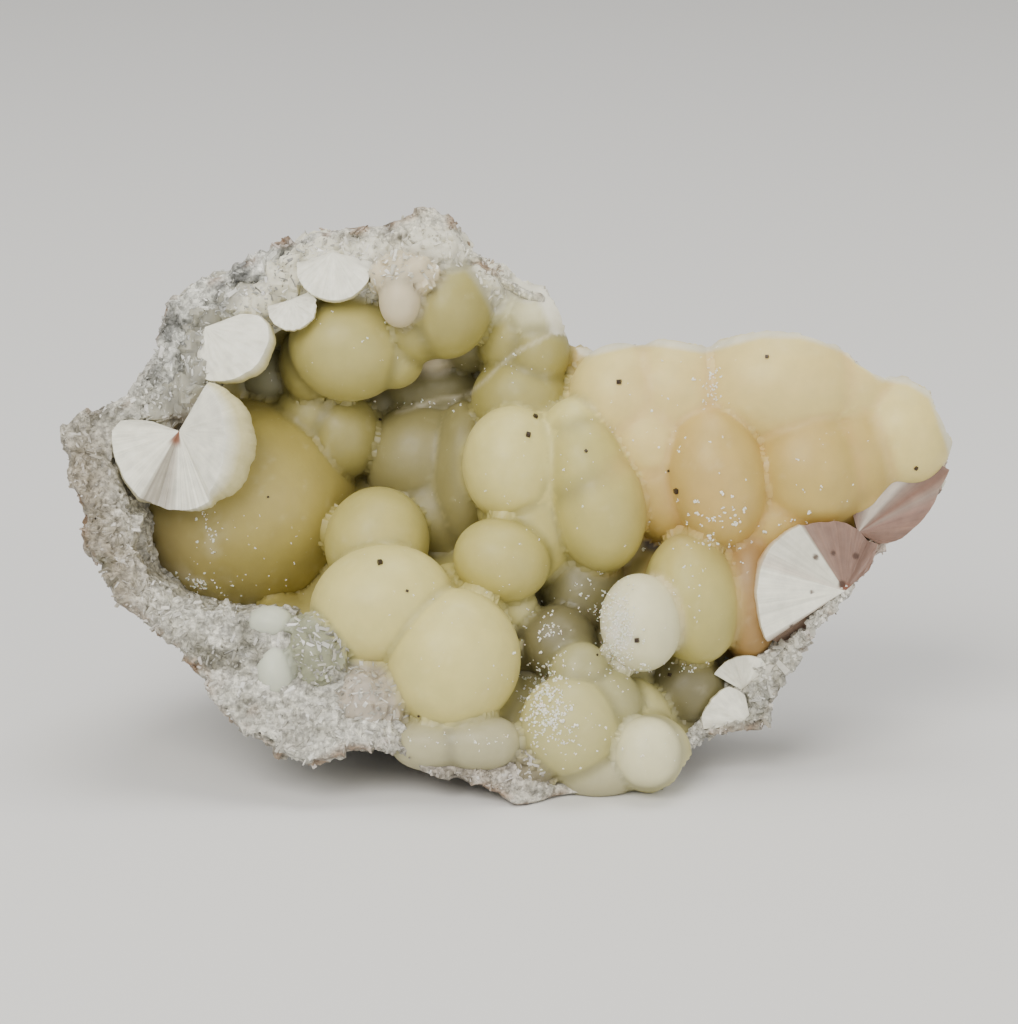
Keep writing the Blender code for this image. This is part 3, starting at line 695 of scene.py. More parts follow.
def crust_colours(points, skin):
    """Waxy tints of the balls, with painted shade in the creases, between the balls and in one hole, painted
    light low in the olive hollow, and white where the crust is broken.
    """
    tints = np.array([linear(TINTS[row[7]]) for row in BALLS] + [[0.0, 0.0, 0.0]])
    label, other, first, second = nearest_shapes(points)
    # Painted shade: the crust between the balls takes their tints darkened to 0.86.
    between = sheet_tint(points) * 0.86
    colours = np.where((label == SHEET)[:, None], between, tints[label])
    beyond = np.where((other == SHEET)[:, None], between, tints[other])
    blend = 0.5 * (1 - smooth_step(second - first, 0.0, 1.3))
    colours += (beyond - colours) * blend[:, None]
    # Painted shade darkens the creases; in the east lobes the creases get a warm orange tint instead of being
    # darkened.
    crease_shade_and_tint = (1 - smooth_step(second, 0.0, 1.2)) * (first < 0.3)
    east = smooth_step(points[:, 0], 9.0, 16.0) * smooth_step(points[:, 1], 16.0, 24.0)
    colours *= (1 - 0.3 * crease_shade_and_tint * (1 - east))[:, None]
    colours = mixed(colours, crease_shade_and_tint * 0.22 * east, (204, 158, 108))
    colours *= (1 + 0.05 * fractal(points, 7.0, 11))[:, None]
    fine = fractal(points, 1.3, 12)
    colours = mixed(colours, smooth_step(fine, 0.25, 0.75) * 0.12, (226, 220, 186))
    # Frosty skin low on the olive ball, and chalk on one half of the egg
    frost = np.maximum(patch(points, 185, 585, (36, 20)), 0.7 * patch(points, 212, 528, (14, 30)))
    frost *= smooth_step(fractal(points, 2.2, 13), -0.15, 0.45) * (points[:, 2] > 10)
    colours = mixed(colours, frost * 0.7, (206, 196, 160))
    # Painted light: the lower left of the olive hollow is made lighter and greyer.
    painted_lighting = patch(points, 165, 545, (44, 50)) * (points[:, 2] > 10)
    colours = mixed(colours, painted_lighting * 0.45, (172, 156, 114))
    chalk = patch(points, 616, 632, (16, 36)) * (label == BALL_NAMES.index("egg"))
    chalk *= smooth_step(fractal(points, 1.1, 14), -0.35, 0.25)
    colours = mixed(colours, chalk * 0.85, (236, 232, 218))
    pink = np.maximum(patch(points, 708, 385, (9, 34)), 0.8 * patch(points, 700, 505, (60, 50)))
    colours = mixed(colours, pink * 0.18, (206, 150, 110))
    rosy = np.isin(label, LOBES) * smooth_step(noise(points, 9.0, 15), -0.4, 0.8)
    colours = mixed(colours, rosy * 0.12, (204, 156, 108))
    # Painted shade: a dark brown spot on the crust between the balls stands in for a deep hole.
    painted_hole_shade = patch(points, 655, 541, (15, 14)) * (label == SHEET)
    colours = mixed(colours, smooth_step(painted_hole_shade, 0.2, 0.8) * 0.95, (44, 28, 12))
    # A milky crack line that crosses the hollow's right side
    for ends in (((395, 413), (470, 392)), ((470, 392), (520, 350)), ((520, 350), (556, 330))):
        colours = mixed(colours, crack_share(points, *ends), (208, 200, 172))
    # Broken white crust: where the outline cuts it, between the balls near the rim, and the rough lumps
    rim = rim_distance(points)
    broken = (label == SHEET) * (1 - smooth_step(rim, 4.0, 8.0)) * (points[:, 1] > 50) * (points[:, 0] < 9)
    broken = np.maximum(broken, ~skin & (first < -CUT_INSIDE))
    edge = (1 - smooth_step(rim, 0.2, 0.9)) * (points[:, 0] > 9) * (points[:, 1] > 30)
    broken = np.maximum(broken, edge * 0.8)
    lip = (1 - smooth_step(rim, 0.9, 1.8)) * (points[:, 0] > -4) * (points[:, 0] < 9) * (points[:, 1] > 58)
    broken = np.maximum(broken, lip)
    mottled = 0.5 * fractal(points * np.array([1.0, 1.0, 0.35]), 0.9, 16) + 0.5 * fractal(points, 2.4, 17)
    colours = mixed(colours, broken, TINTS["fracture"])
    rough = np.isin(label, ROUGH)
    shade = np.maximum(broken, rough) * (0.22 * mottled) + 1
    return colours * shade[:, None]


def crack_share(points, start, end):
    """How strongly points show within a thin line of the view from in front."""
    x, y = sight_of(points)
    way = np.array(end, float) - start
    along = np.clip(((x - start[0]) * way[0] + (y - start[1]) * way[1]) / (way @ way), 0, 1)
    bend = noise(points, 3.0, 18) * 2.0
    away = np.hypot(x - start[0] - along * way[0], y - start[1] - along * way[1] + bend)
    return np.exp(-(away / 1.8) ** 2) * 0.5


class Looks:
    """The nodes of one material, added in order."""

    def __init__(self, name):
        self.material = bpy.data.materials.new(name)
        self.material.use_nodes = True
        self.tree = self.material.node_tree
        self.shader = self.tree.nodes["Principled BSDF"]
        self.place = self.tree.nodes.new("ShaderNodeTexCoord").outputs["Object"]

    def node(self, kind, **settings):
        made = self.tree.nodes.new("ShaderNode" + kind)
        for name, value in settings.items():
            setattr(made, name, value)
        return made

    def link(self, source, target):
        self.tree.links.new(source, target)
        return source

    def set(self, socket, value):
        target = self.shader.inputs[socket]
        if isinstance(value, bpy.types.NodeSocket):
            self.link(value, target)
        else:
            target.default_value = value

    def noise(self, size, detail=4.0, roughness=0.55):
        """Noise with lumps of that size in mm."""
        made = self.node("TexNoise")
        made.inputs["Scale"].default_value = 1 / (size * MM)
        made.inputs["Detail"].default_value = detail
        made.inputs["Roughness"].default_value = roughness
        self.link(self.place, made.inputs["Vector"])
        return made.outputs["Fac"]

    def ramp(self, source, low, high, at_low=0.0, at_high=1.0):
        made = self.node("MapRange")
        made.inputs["From Min"].default_value = low
        made.inputs["From Max"].default_value = high
        made.inputs["To Min"].default_value = at_low
        made.inputs["To Max"].default_value = at_high
        self.link(source, made.inputs["Value"])
        return made.outputs["Result"]

    def painted(self):
        made = self.node("Attribute", attribute_name="tint")
        return made.outputs["Color"]

    def mix(self, share, colour_a, colour_b, blend="MIX"):
        made = self.node("Mix", data_type="RGBA", blend_type=blend)
        for number, value in ((0, share), (6, colour_a), (7, colour_b)):
            socket = made.inputs[number]
            if isinstance(value, bpy.types.NodeSocket):
                self.link(value, socket)
            else:
                socket.default_value = value
        return made.outputs[2]

    def flat_grains(self, size):
        """Height of small crystal faces, each its own tilted plane, and the grain's random number."""
        cell = self.node("TexVoronoi", feature="F1")
        cell.inputs["Scale"].default_value = 1 / (size * MM)
        self.link(self.place, cell.inputs["Vector"])
        scaled = self.node("VectorMath", operation="SCALE")
        scaled.inputs["Scale"].default_value = 1 / (size * MM)
        self.link(self.place, scaled.inputs[0])
        away = self.node("VectorMath", operation="SUBTRACT")
        self.link(scaled.outputs[0], away.inputs[0])
        self.link(cell.outputs["Position"], away.inputs[1])
        tilt = self.node("VectorMath", operation="SUBTRACT")
        self.link(cell.outputs["Color"], tilt.inputs[0])
        tilt.inputs[1].default_value = (0.5, 0.5, 0.5)
        height = self.node("VectorMath", operation="DOT_PRODUCT")
        self.link(away.outputs[0], height.inputs[0])
        self.link(tilt.outputs[0], height.inputs[1])
        return height.outputs["Value"], cell.outputs["Color"]

    def bump(self, height, distance, strength=1.0, under=None):
        made = self.node("Bump")
        made.inputs["Distance"].default_value = distance * MM
        made.inputs["Strength"].default_value = strength
        self.link(height, made.inputs["Height"])
        if under is not None:
            self.link(under, made.inputs["Normal"])
        return made.outputs["Normal"]


def waxy_look():
    looks = Looks("waxy pectolite")
    speck = looks.ramp(looks.noise(0.8, 3.0), 0.72, 0.80, 0.0, 0.7)
    colour = looks.mix(speck, looks.painted(), (0.82, 0.78, 0.60, 1.0))
    blotch = looks.ramp(looks.noise(2.6, 3.0), 0.3, 0.7, 0.94, 1.04)
    looks.set("Base Color", looks.mix(1.0, colour, blotch, "MULTIPLY"))
    looks.set("Roughness", looks.ramp(looks.noise(1.1), 0.3, 0.7, 0.42, 0.56))
    looks.set("Subsurface Weight", 0.45)
    looks.set("Subsurface Radius", (1.0, 0.93, 0.78))
    looks.set("Subsurface Scale", 1.6 * MM)
    looks.set("IOR", 1.55)
    grain = looks.bump(looks.noise(0.28, 3.0), 0.02, 0.5)
    looks.set("Normal", looks.bump(looks.noise(1.6, 3.0), 0.08, 0.5, grain))
    return looks.material


def fibre_look():
    looks = Looks("silky fibres")
    cloudy = looks.ramp(looks.noise(1.5, 5.0, 0.65), 0.3, 0.7, 0.86, 1.06)
    looks.set("Base Color", looks.mix(1.0, looks.painted(), cloudy, "MULTIPLY"))
    looks.set("Roughness", looks.ramp(looks.noise(0.6), 0.3, 0.7, 0.32, 0.55))
    looks.set("Subsurface Weight", 0.25)
    looks.set("Subsurface Radius", (1.0, 0.92, 0.8))
    looks.set("Subsurface Scale", 0.8 * MM)
    looks.set("Normal", looks.bump(looks.noise(0.22, 3.0), 0.02, 0.6))
    return looks.material


def rock_look():
    looks = Looks("crystalline rock")
    coarse, coarse_draw = looks.flat_grains(1.1)
    fine, fine_draw = looks.flat_grains(0.42)
    shade = looks.ramp(fine_draw, 0.0, 1.0, 0.66, 1.26)
    shade_coarse = looks.ramp(looks.noise(0.9, 6.0, 0.7), 0.4, 0.56, 0.55, 1.1)
    colour = looks.mix(1.0, looks.painted(), shade, "MULTIPLY")
    looks.set("Base Color", looks.mix(1.0, colour, shade_coarse, "MULTIPLY"))
    looks.set("Roughness", looks.ramp(coarse_draw, 0.0, 1.0, 0.2, 0.6))
    looks.set("Subsurface Weight", 0.15)
    looks.set("Subsurface Radius", (1.0, 1.0, 0.95))
    looks.set("Subsurface Scale", 0.7 * MM)
    lower = looks.bump(fine, 0.18, 0.8)
    looks.set("Normal", looks.bump(coarse, 0.5, 0.8, lower))
    return looks.material


def crystal_look():
    looks = Looks("clear crystals")
    looks.set("Base Color", looks.painted())
    looks.set("Roughness", looks.ramp(looks.noise(0.9), 0.3, 0.7, 0.08, 0.3))
    looks.set("Subsurface Weight", 0.3)
    looks.set("Subsurface Radius", (1.0, 1.0, 1.0))
    looks.set("Subsurface Scale", 0.8 * MM)
    looks.set("IOR", 1.5)
    looks.set("Normal", looks.bump(looks.noise(0.3), 0.02, 0.5))
    return looks.material


def grain_look():
    looks = Looks("white grains")
    looks.set("Base Color", looks.mix(looks.noise(0.3), (0.78, 0.74, 0.62, 1.0), (0.92, 0.89, 0.80, 1.0)))
    looks.set("Roughness", 0.5)
    looks.set("Subsurface Weight", 0.2)
    looks.set("Subsurface Scale", 0.4 * MM)
    return looks.material


def cube_look():
    looks = Looks("dark cubes")
    dark, brown = (0.012, 0.009, 0.007, 1.0), (0.07, 0.045, 0.025, 1.0)
    looks.set("Base Color", looks.mix(looks.noise(0.3), dark, brown))
    looks.set("Roughness", looks.ramp(looks.noise(0.2), 0.3, 0.7, 0.25, 0.5))
    looks.set("Metallic", 0.35)
    looks.set("Normal", looks.bump(looks.noise(0.12), 0.01, 0.6))
    return looks.material


def floor_look():
    looks = Looks("pale floor")
    looks.set("Base Color", (0.72, 0.72, 0.71, 1.0))
    looks.set("Roughness", 0.8)
    return looks.material


def sharpen(data, degrees):
    """Smooth shading, but for edges steeper than that angle."""
    data.shade_smooth()
    data.set_sharp_from_angle(angle=math.radians(degrees))


def make_crust(look):
    crust = crust_blank()
    data = crust.data
    points, skin = exact_balls(data)
    put_points(data, stood(points))
    outward = laid(stood(points) + normals_of(data) * MM) - points
    lift = fractal(points, 6.0, 21) * 0.10 + fractal(points, 1.6, 22) * 0.018
    rough = facets(points, 1.6, 23) * 0.5 + facets(points, 3.2, 25) * 0.6 + fractal(points, 1.0, 24) * 0.2
    label, _, first, _ = nearest_shapes(points)
    cut = ~skin & (first < -CUT_INSIDE)
    lift = np.where(cut | np.isin(label, ROUGH), rough, lift)
    points += outward * lift[:, None]
    put_points(data, stood_on_floor(points))
    paint(data, crust_colours(points, skin))
    sharpen(data, 28)
    data.materials.clear()
    data.materials.append(look)
    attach(crust, "root")
    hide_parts("pectolite")
    return crust


def rim_distance(points):
    """Distance in the face's plane from the outer rim."""
    best = np.full(len(points), 1e9)
    for start, end in zip(RIM, np.roll(RIM, -1, axis=0)):
        way = (end - start)[:2]
        along = np.clip(((points[:, :2] - start[:2]) @ way) / (way @ way), 0, 1)
        away = points[:, :2] - (start[:2] + along[:, None] * way)
        best = np.minimum(best, np.linalg.norm(away, axis=1))
    return best


def rock_colours(points, facing):
    """White to grey crystalline rock, with dark patches, a brown skin on old faces, and pink to the right."""
    base = np.tile(linear((208, 206, 194)), (len(points), 1))
    grey = smooth_step(fractal(points, 4.0, 31), -0.05, 0.45)
    base = mixed(base, grey * 0.6, (150, 149, 138))
    _, drawn = grains(points, 0.9, 33)
    base *= (0.82 + 0.36 * drawn[:, 1])[:, None]
    north_west = np.clip(patch(points, 195, 340, (62, 70)) + patch(points, 265, 265, (56, 34)), 0, 1)
    base = mixed(base, north_west * 0.6, (222, 224, 217))
    dark = smooth_step(fractal(points, 1.8, 34), 0.0, 0.22) * north_west
    base = mixed(base, dark * 0.9, (74, 75, 72))
    south_west = smooth_step(fractal(points, 2.6, 46), -0.25, 0.25) * patch(points, 220, 665, (110, 60))
    base = mixed(base, south_west * 0.75, (104, 100, 80))
    west = np.clip(patch(points, 80, 480, (40, 70)) + patch(points, 110, 580, (44, 60)), 0, 1)
    base = mixed(base, west * 0.8, (143, 131, 110))
    olive = smooth_step(fractal(points, 3.0, 35), 0.05, 0.45) * patch(points, 100, 570, (44, 70))
    base = mixed(base, olive * 0.8, (84, 82, 60))
    low = patch(points, 480, 765, (80, 34))
    base = mixed(base, low * 0.6, (138, 120, 104))
    streak = smooth_step(fractal(points, 2.0, 45), 0.1, 0.5) * patch(points, 215, 720, (60, 40))
    base = mixed(base, streak * 0.6, (138, 116, 98))
    peak = patch(points, 425, 250, (60, 50)) + patch(points, 520, 300, (60, 50))
    base = mixed(base, np.clip(peak, 0, 1) * 0.75, (226, 222, 200))
    brown = smooth_step(fractal(points, 2.2, 36), -0.1, 0.35)
    edge = 1 - smooth_step(rim_distance(points), 0.3, 1.5)
    base = mixed(base, brown * edge * 0.75, (122, 84, 44))
    crack = patch(points, 404, 238, (17, 3.5)) + patch(points, 388, 228, (5, 7))
    base = mixed(base, crack * 0.8, (70, 60, 46))
    shadowed = smooth_step(fractal(points, 2.0, 47), -0.1, 0.3) * patch(points, 760, 690, (50, 60))
    base = mixed(base, shadowed * 0.6, (128, 122, 100))
    east = smooth_step(points[:, 0], 40.0, 50.0) * (points[:, 1] > 24)
    base = mixed(base, east * (0.5 + 0.3 * fractal(points, 3.0, 37)), (170, 126, 108))
    # The hidden back and underside: duller, stained skin of the old cavity wall
    hidden = smooth_step(-facing, -0.15, 0.45)
    base = mixed(base, hidden * (0.45 + 0.35 * fractal(points, 6.0, 38)), (138, 122, 98))
    base = mixed(base, hidden * smooth_step(fractal(points, 4.0, 39), 0.15, 0.5) * 0.6, (96, 82, 64))
    return base


def make_rock(look):
    rock = linked("rock_matrix", frame["nodes"]["matrix"].data.copy())
    rock.data.materials.clear()
    remesh(rock, ROCK_VOXEL)
    apply_modifiers(rock)
    data = rock.data
    points = laid(points_of(data))
    for _ in range(2):
        smooth_points(data, points)
    put_points(data, stood(points))
    outward = laid(stood(points) + normals_of(data) * MM) - points
    facing = -outward[:, 2]
    calm = 1 - 0.75 * np.clip(patch(points, 430, 255, (50, 46)) + patch(points, 525, 300, (56, 50)), 0, 1)
    height = fractal(points, 9.0, 41) * 0.55 + facets(points, 3.4, 42) * 0.9 * calm
    height += facets(points, 1.5, 43) * 0.5 * calm + fractal(points, 0.9, 44) * 0.15 * calm
    foot = smooth_step(stood(points)[:, 2] / MM, 0.4, 2.5)
    height = np.minimum(height, 0.9) * (0.15 + 0.85 * foot) - 0.1
    points += outward * height[:, None]
    put_points(data, stood_on_floor(points))
    paint(data, rock_colours(points, facing))
    sharpen(data, 30)
    data.materials.append(look)
    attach(rock, "root")
    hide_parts("matrix")
    return rock


def smooth_points(data, points):
    """Move each point half way to the middle of its neighbours."""
    edges = np.zeros(len(data.edges) * 2, np.int32)
    data.edges.foreach_get("vertices", edges)
    near, far = edges.reshape(-1, 2).T
    ends, others = np.concatenate([near, far]), np.concatenate([far, near])
    count = np.maximum(np.bincount(ends, minlength=len(points)), 1)
    for axis in range(3):
        total = np.bincount(ends, weights=points[others, axis], minlength=len(points))
        points[:, axis] = 0.5 * points[:, axis] + 0.5 * total / count


def make_fan(name, apex, keys, half_depth, skin_tint, look, seed, core=(), marks=(), rings=44, step=0.5):
    """A ball broken open into fibres that spread from its middle.

    keys give, for turns in degrees about the apex (anticlockwise from the right), how far the face reaches,
    how far its edge stands towards the viewer, how pleated it is, and its colour. core gives the colour of
    the stain at the middle, its size, its turn and its half spread. marks give the places of small brown
    stains in the view from in front, and their sizes in mm.
    """
    turns = np.arange(keys[0][0], keys[-1][0] + 1e-6, step)
    at_keys = [row[0] for row in keys]
    reach, rise, pleat = (np.interp(turns, at_keys, [row[k] for row in keys]) for k in (1, 2, 3))
    tint = np.stack([np.interp(turns, at_keys, linear([row[4] for row in keys])[:, k]) for k in range(3)], 1)
    line = np.stack([turns, np.full(len(turns), seed * 7.3), np.zeros(len(turns))], 1)
    streak = 0.35 * noise(line, 6.0, seed) + 0.35 * noise(line, 2.6, seed + 3)
    streak = streak + 0.4 * noise(line, 1.0, seed + 5)
    ragged = noise(line, 7.0, seed + 9) * 0.08 + noise(line, 1.6, seed + 10) * 0.03
    way = np.stack([np.cos(np.radians(turns)), np.sin(np.radians(turns))], 1)
    apex = np.asarray(apex, float)
    rows, colours = [], []

    def add_row(out, deep, colour):
        rows.append(np.column_stack([apex[0] + way[:, 0] * out, apex[1] + way[:, 1] * out, deep]))
        colours.append(colour)

    for ring in range(rings + 1):
        share = ring / rings
        out = (reach + ragged * share) * share
        place = np.stack([turns * 0.16, np.full(len(turns), share * 7.0), np.zeros(len(turns))], 1)
        broken = noise(place, 1.0, seed + 11)
        lift = rise * share + pleat * streak * 0.10 * share ** 0.7 + broken * 0.09 * share
        tone = 1 + (0.05 + 0.30 * pleat) * streak * (0.35 + 0.65 * share) + 0.07 * broken
        colour = tint * tone[:, None]
        if core:
            stain = 1 - smooth_step(out, core[1] * 0.5, core[1])
            stain = stain * (1 - smooth_step(np.abs(turns - core[2]), core[3] * 0.6, core[3]))
            colour = mixed(colour, stain * 0.9, core[0])
        for x, y, size in marks:
            spot = seen_at(x, y, apex[2])
            away = np.hypot(apex[0] + way[:, 0] * out - spot[0], apex[1] + way[:, 1] * out - spot[1])
            mark = 1 - smooth_step(away + 0.1 * streak, size * 0.5, size)
            colour = mixed(colour, mark * 0.9, (64, 34, 14))
        add_row(out, apex[2] - lift, colour)
    # The ball's skin, from the broken face's edge over its widest line to the hidden pole
    edge_rise = np.clip(apex[2] - rows[-1][:, 2], -0.8 * half_depth, 0.96 * half_depth)
    start = np.arcsin(edge_rise / half_depth)
    wide = (reach + ragged) / np.cos(start)
    skin = linear(skin_tint)
    for k in range(1, SKIN_ROWS + 1):
        angle = start + (-0.5 * math.pi - start) * k / SKIN_ROWS
        out = wide * np.cos(angle)
        out[np.abs(out) < 1e-6] = 0.0
        blend = min(1.0, k / 2)
        add_row(out, apex[2] - half_depth * np.sin(angle), tint * (1 - blend) + skin * blend)
    grid = np.array(rows)
    count, across = grid.shape[:2]
    corner = (np.arange(count - 1)[:, None] * across + np.arange(across - 1)).ravel()
    faces = np.column_stack([corner, corner + 1, corner + across + 1, corner + across])
    mesh = bmesh.new()
    layer = mesh.verts.layers.float_color.new("tint")
    verts = [mesh.verts.new(point) for point in stood_on_floor(grid.reshape(-1, 3))]
    for vert, colour in zip(verts, np.clip(np.concatenate(colours), 0, 1)):
        vert[layer] = (*colour, 1.0)
    for face in faces:
        mesh.faces.new([verts[k] for k in face])
    for column in (0, across - 1):
        for i in range(1, count - 1):
            mesh.faces.new([verts[column], verts[i * across + column], verts[(i + 1) * across + column]])
    bmesh.ops.remove_doubles(mesh, verts=mesh.verts, dist=2e-6)
    bmesh.ops.dissolve_degenerate(mesh, edges=mesh.edges, dist=1e-7)
    bmesh.ops.recalc_face_normals(mesh, faces=mesh.faces)
    data = bpy.data.meshes.new(name)
    mesh.to_mesh(data)
    mesh.free()
    sharpen(data, 40)
    return as_piece(name, data, look)


def make_fans(look):
    """Each ball that is broken open at the rim."""
    # Fibre colours: pearl is the fibres' white and pink their stain. dim and shade are darker copies of pearl,
    # and the last of these six is a darker copy of pink: painted shade where faces turn from the lights or lie
    # under the lobes.
    pearl, dim, shade, lilac, pink, painted_lighting = (
        (231, 230, 214), (212, 210, 194), (160, 154, 140), (176, 164, 150), (128, 100, 86), (110, 82, 68))
    cream = (208, 200, 152)

    def round_reach(turn):
        """How far the ball's outline lies from the apex, which isn't its middle."""
        across, up, radius = 1.95, -1.5, 7.7
        ahead = across * math.cos(math.radians(turn)) + up * math.sin(math.radians(turn))
        return ahead + math.sqrt(ahead ** 2 + radius ** 2 - across ** 2 - up ** 2)

    def tilted(turn):
        """Reach and rise of a face that leans towards the viewer on its right."""
        slope = 0.74 * math.cos(math.radians(turn))
        out = 1 / math.sqrt(1 / round_reach(turn) ** 2 + slope ** 2 / 5.6 ** 2)
        return out, slope * out

    # Painted shade on fan_west: the wedge from -117 to -98 degrees, which faces away from the key light.
    west = [
        (-200, 3.4, 0.1, 0.2, dim), (-190, 7.2, 0.2, 0.4, dim), (-180, 8.2, 0.6, 0.4, pearl),
        (-150, 8.4, 1.3, 0.5, pearl), (-120, 9.3, 1.9, 0.6, dim), (-117, 9.3, 1.7, 1.0, shade),
        (-106, 9.5, 0.5, 1.2, shade), (-98, 9.6, 0.7, 1.3, (178, 172, 158)), (-91, 9.7, 0.6, 1.2, pearl),
        (-76, 9.7, 1.7, 1.0, pearl), (-66, 9.4, 2.2, 0.8, pearl),
    ]
    west += [(turn, *tilted(turn), 0.15, pearl) for turn in range(-62, 59, 5)]
    make_fan("fan_west", seen_at(179, 431, 9.0), west, 5.6, cream, look, 3, ((120, 60, 18), 2.3, -108, 32))
    # Painted shade on fan_east: the grey upper wedge, the darker pink near the lobes, and the flank below its
    # lower edge from 215 degrees on, which faces down.
    east = [
        (40, 4.0, -0.6, 0.5, painted_lighting), (47, 5.2, -0.9, 0.6, painted_lighting), (54, 7.1, -1.4, 0.6, pink),
        (66, 6.8, -0.6, 0.7, painted_lighting), (78, 7.6, -0.5, 0.6, pink), (90, 8.4, 0.0, 0.6, pink),
        (106, 8.8, 0.5, 0.6, pink),
        (122, 9.5, 1.0, 0.5, (142, 116, 102)), (125, 9.8, 1.5, 0.5, dim), (150, 10.6, 2.0, 0.6, dim),
        (162, 10.8, 2.5, 0.6, (214, 206, 190)), (165, 10.8, 2.3, 0.6, pearl), (190, 10.9, 1.8, 0.5, pearl),
        (210, 11.3, 1.2, 0.4, pearl), (213, 11.3, 0.6, 0.4, lilac), (215, 10.6, -2.4, 0.4, (150, 128, 112)),
        (226, 9.4, -3.6, 0.4, (132, 108, 92)),
    ]
    core = ((118, 62, 34), 1.3, 95, 70)
    marks = ((815, 557, 0.5), (811, 592, 0.35), (833, 553, 0.4),
             (856, 556, 0.55), (842, 584, 0.6), (791, 626, 0.3))
    make_fan("fan_east", seen_at(845, 591, 9.6), east, 8.0, (196, 164, 118), look, 8, core, marks)
    rim_a = [(-108, 5.8, 0.2, 0.05, dim), (-90, 6.4, 0.9, 0.05, pearl), (-72, 7.0, 1.5, 0.05, pearl),
             (-58, 7.5, 1.9, 0.05, pearl), (-45, 7.8, 2.2, 0.05, pearl), (-32, 8.0, 2.3, 0.05, pearl),
             (-20, 8.1, 2.2, 0.05, pearl), (-8, 8.1, 2.0, 0.05, pearl), (2, 7.7, 1.6, 0.05, pearl),
             (11, 6.8, 1.1, 0.05, pearl), (20, 4.6, 0.4, 0.05, dim)]
    make_fan("rim_fan_a", seen_at(205, 327, 11.4), rim_a, 5.0, cream, look, 12)
    rim_c = [(-164, 4.6, 0.0, 0.2, dim), (-140, 5.4, 0.7, 0.35, pearl), (-115, 5.8, 1.1, 0.4, pearl),
             (-90, 6.0, 1.3, 0.4, pearl), (-65, 6.0, 1.2, 0.35, pearl), (-40, 5.6, 0.8, 0.3, pearl),
             (-14, 5.0, 0.2, 0.2, dim)]
    make_fan("rim_fan_c", seen_at(333, 252, 10.6), rim_c, 4.6, cream, look, 17)
    rim_b = [(-165, 2.8, 0.0, 0.1, dim), (-130, 3.4, 0.6, 0.1, pearl), (-95, 3.7, 0.9, 0.1, pearl),
             (-60, 3.7, 1.0, 0.1, pearl), (-25, 3.5, 0.8, 0.1, pearl), (24, 2.8, 0.0, 0.1, dim)]
    make_fan("rim_fan_b", seen_at(290, 300, 10.8), rim_b, 3.4, cream, look, 21)
    # glint, the light streak in the pocket, is a painted highlight.
    grey_pink, glint = (142, 124, 112), (186, 176, 164)
    pocket = [(-27, 2.8, -0.2, 0.4, painted_lighting), (5, 7.0, -0.8, 0.5, pink), (20, 10.0, -1.6, 0.6, (136, 106, 94)),
              (28, 11.7, -2.0, 0.5, grey_pink), (34, 14.0, -2.6, 0.5, (132, 98, 82)),
              (44, 12.8, -1.4, 0.3, grey_pink), (49, 10.0, -0.8, 0.3, glint), (58, 7.4, -0.6, 0.3, glint),
              (76, 6.4, -1.0, 0.3, grey_pink),
              (104, 4.6, -1.0, 0.3, pink)]
    make_fan("fan_pocket", seen_at(858, 533, 12.8), pocket, 6.0, (180, 150, 122), look, 26)
    low_a = [(104, 3.6, 0.2, 0.2, dim), (122, 5.4, 0.5, 0.2, pearl), (150, 5.8, 0.9, 0.2, pearl),
             (172, 6.2, 0.4, 0.2, pearl), (186, 6.0, 0.0, 0.2, dim)]
    make_fan("low_fan_a", seen_at(752, 724, 11.0), low_a, 4.0, cream, look, 31)
    low_b = [(40, 3.8, 0.2, 0.2, dim), (66, 4.6, 0.6, 0.2, pearl), (110, 4.4, 0.6, 0.2, dim),
             (150, 4.4, 0.2, 0.2, pearl)]
    make_fan("low_fan_b", seen_at(745, 692, 11.8), low_b, 3.4, cream, look, 35)


def scatter(template, faces, places, sizes, turns):
    """Copies of a small closed shape: each with its place, size (3 numbers) and turn (3x3 matrix)."""
    shaped = template[None, :, :] * sizes[:, None, :]
    points = np.einsum("nvk,njk->nvj", shaped, turns) + places[:, None, :]
    shifted = faces[None, :, :] + (np.arange(len(places)) * len(template))[:, None, None]
    return points.reshape(-1, 3), shifted.reshape(-1, faces.shape[1])


def random_turns(draw, count):
    """Even random turns as matrices."""
    q = draw.normal(size=(count, 4))
    q /= np.linalg.norm(q, axis=1)[:, None]
    w, x, y, z = q.T
    return np.stack([
        np.stack([1 - 2 * (y * y + z * z), 2 * (x * y - z * w), 2 * (x * z + y * w)], 1),
        np.stack([2 * (x * y + z * w), 1 - 2 * (x * x + z * z), 2 * (y * z - x * w)], 1),
        np.stack([2 * (x * z - y * w), 2 * (y * z + x * w), 1 - 2 * (x * x + y * y)], 1)], 1)


def tree_of(obj):
    return BVHTree.FromObject(obj, bpy.context.evaluated_depsgraph_get())


def hit_from_front(tree, x, y):
    """Where the viewer's line of sight first meets a surface: its point and normal, in metres."""
    eye = Vector(stood([SIGHT_AXIS[0], SIGHT_AXIS[1], -SIGHT_DISTANCE])[0])
    aim = Vector(stood(seen_at(x, y, 0.0))[0])
    point, normal, _, _ = tree.ray_cast(eye, (aim - eye).normalized())
    return point, normal


def crystal_shape(draw):
    """A blocky cleavage grain with flat faces."""
    mesh = bmesh.new()
    bmesh.ops.create_cube(mesh, size=1.0)
    for vert in mesh.verts:
        vert.co += Vector(draw.uniform(-0.16, 0.16, 3))
    bmesh.ops.triangulate(mesh, faces=mesh.faces)
    points = np.array([vert.co for vert in mesh.verts])
    faces = np.array([[vert.index for vert in face.verts] for face in mesh.faces])
    mesh.free()
    return points, faces


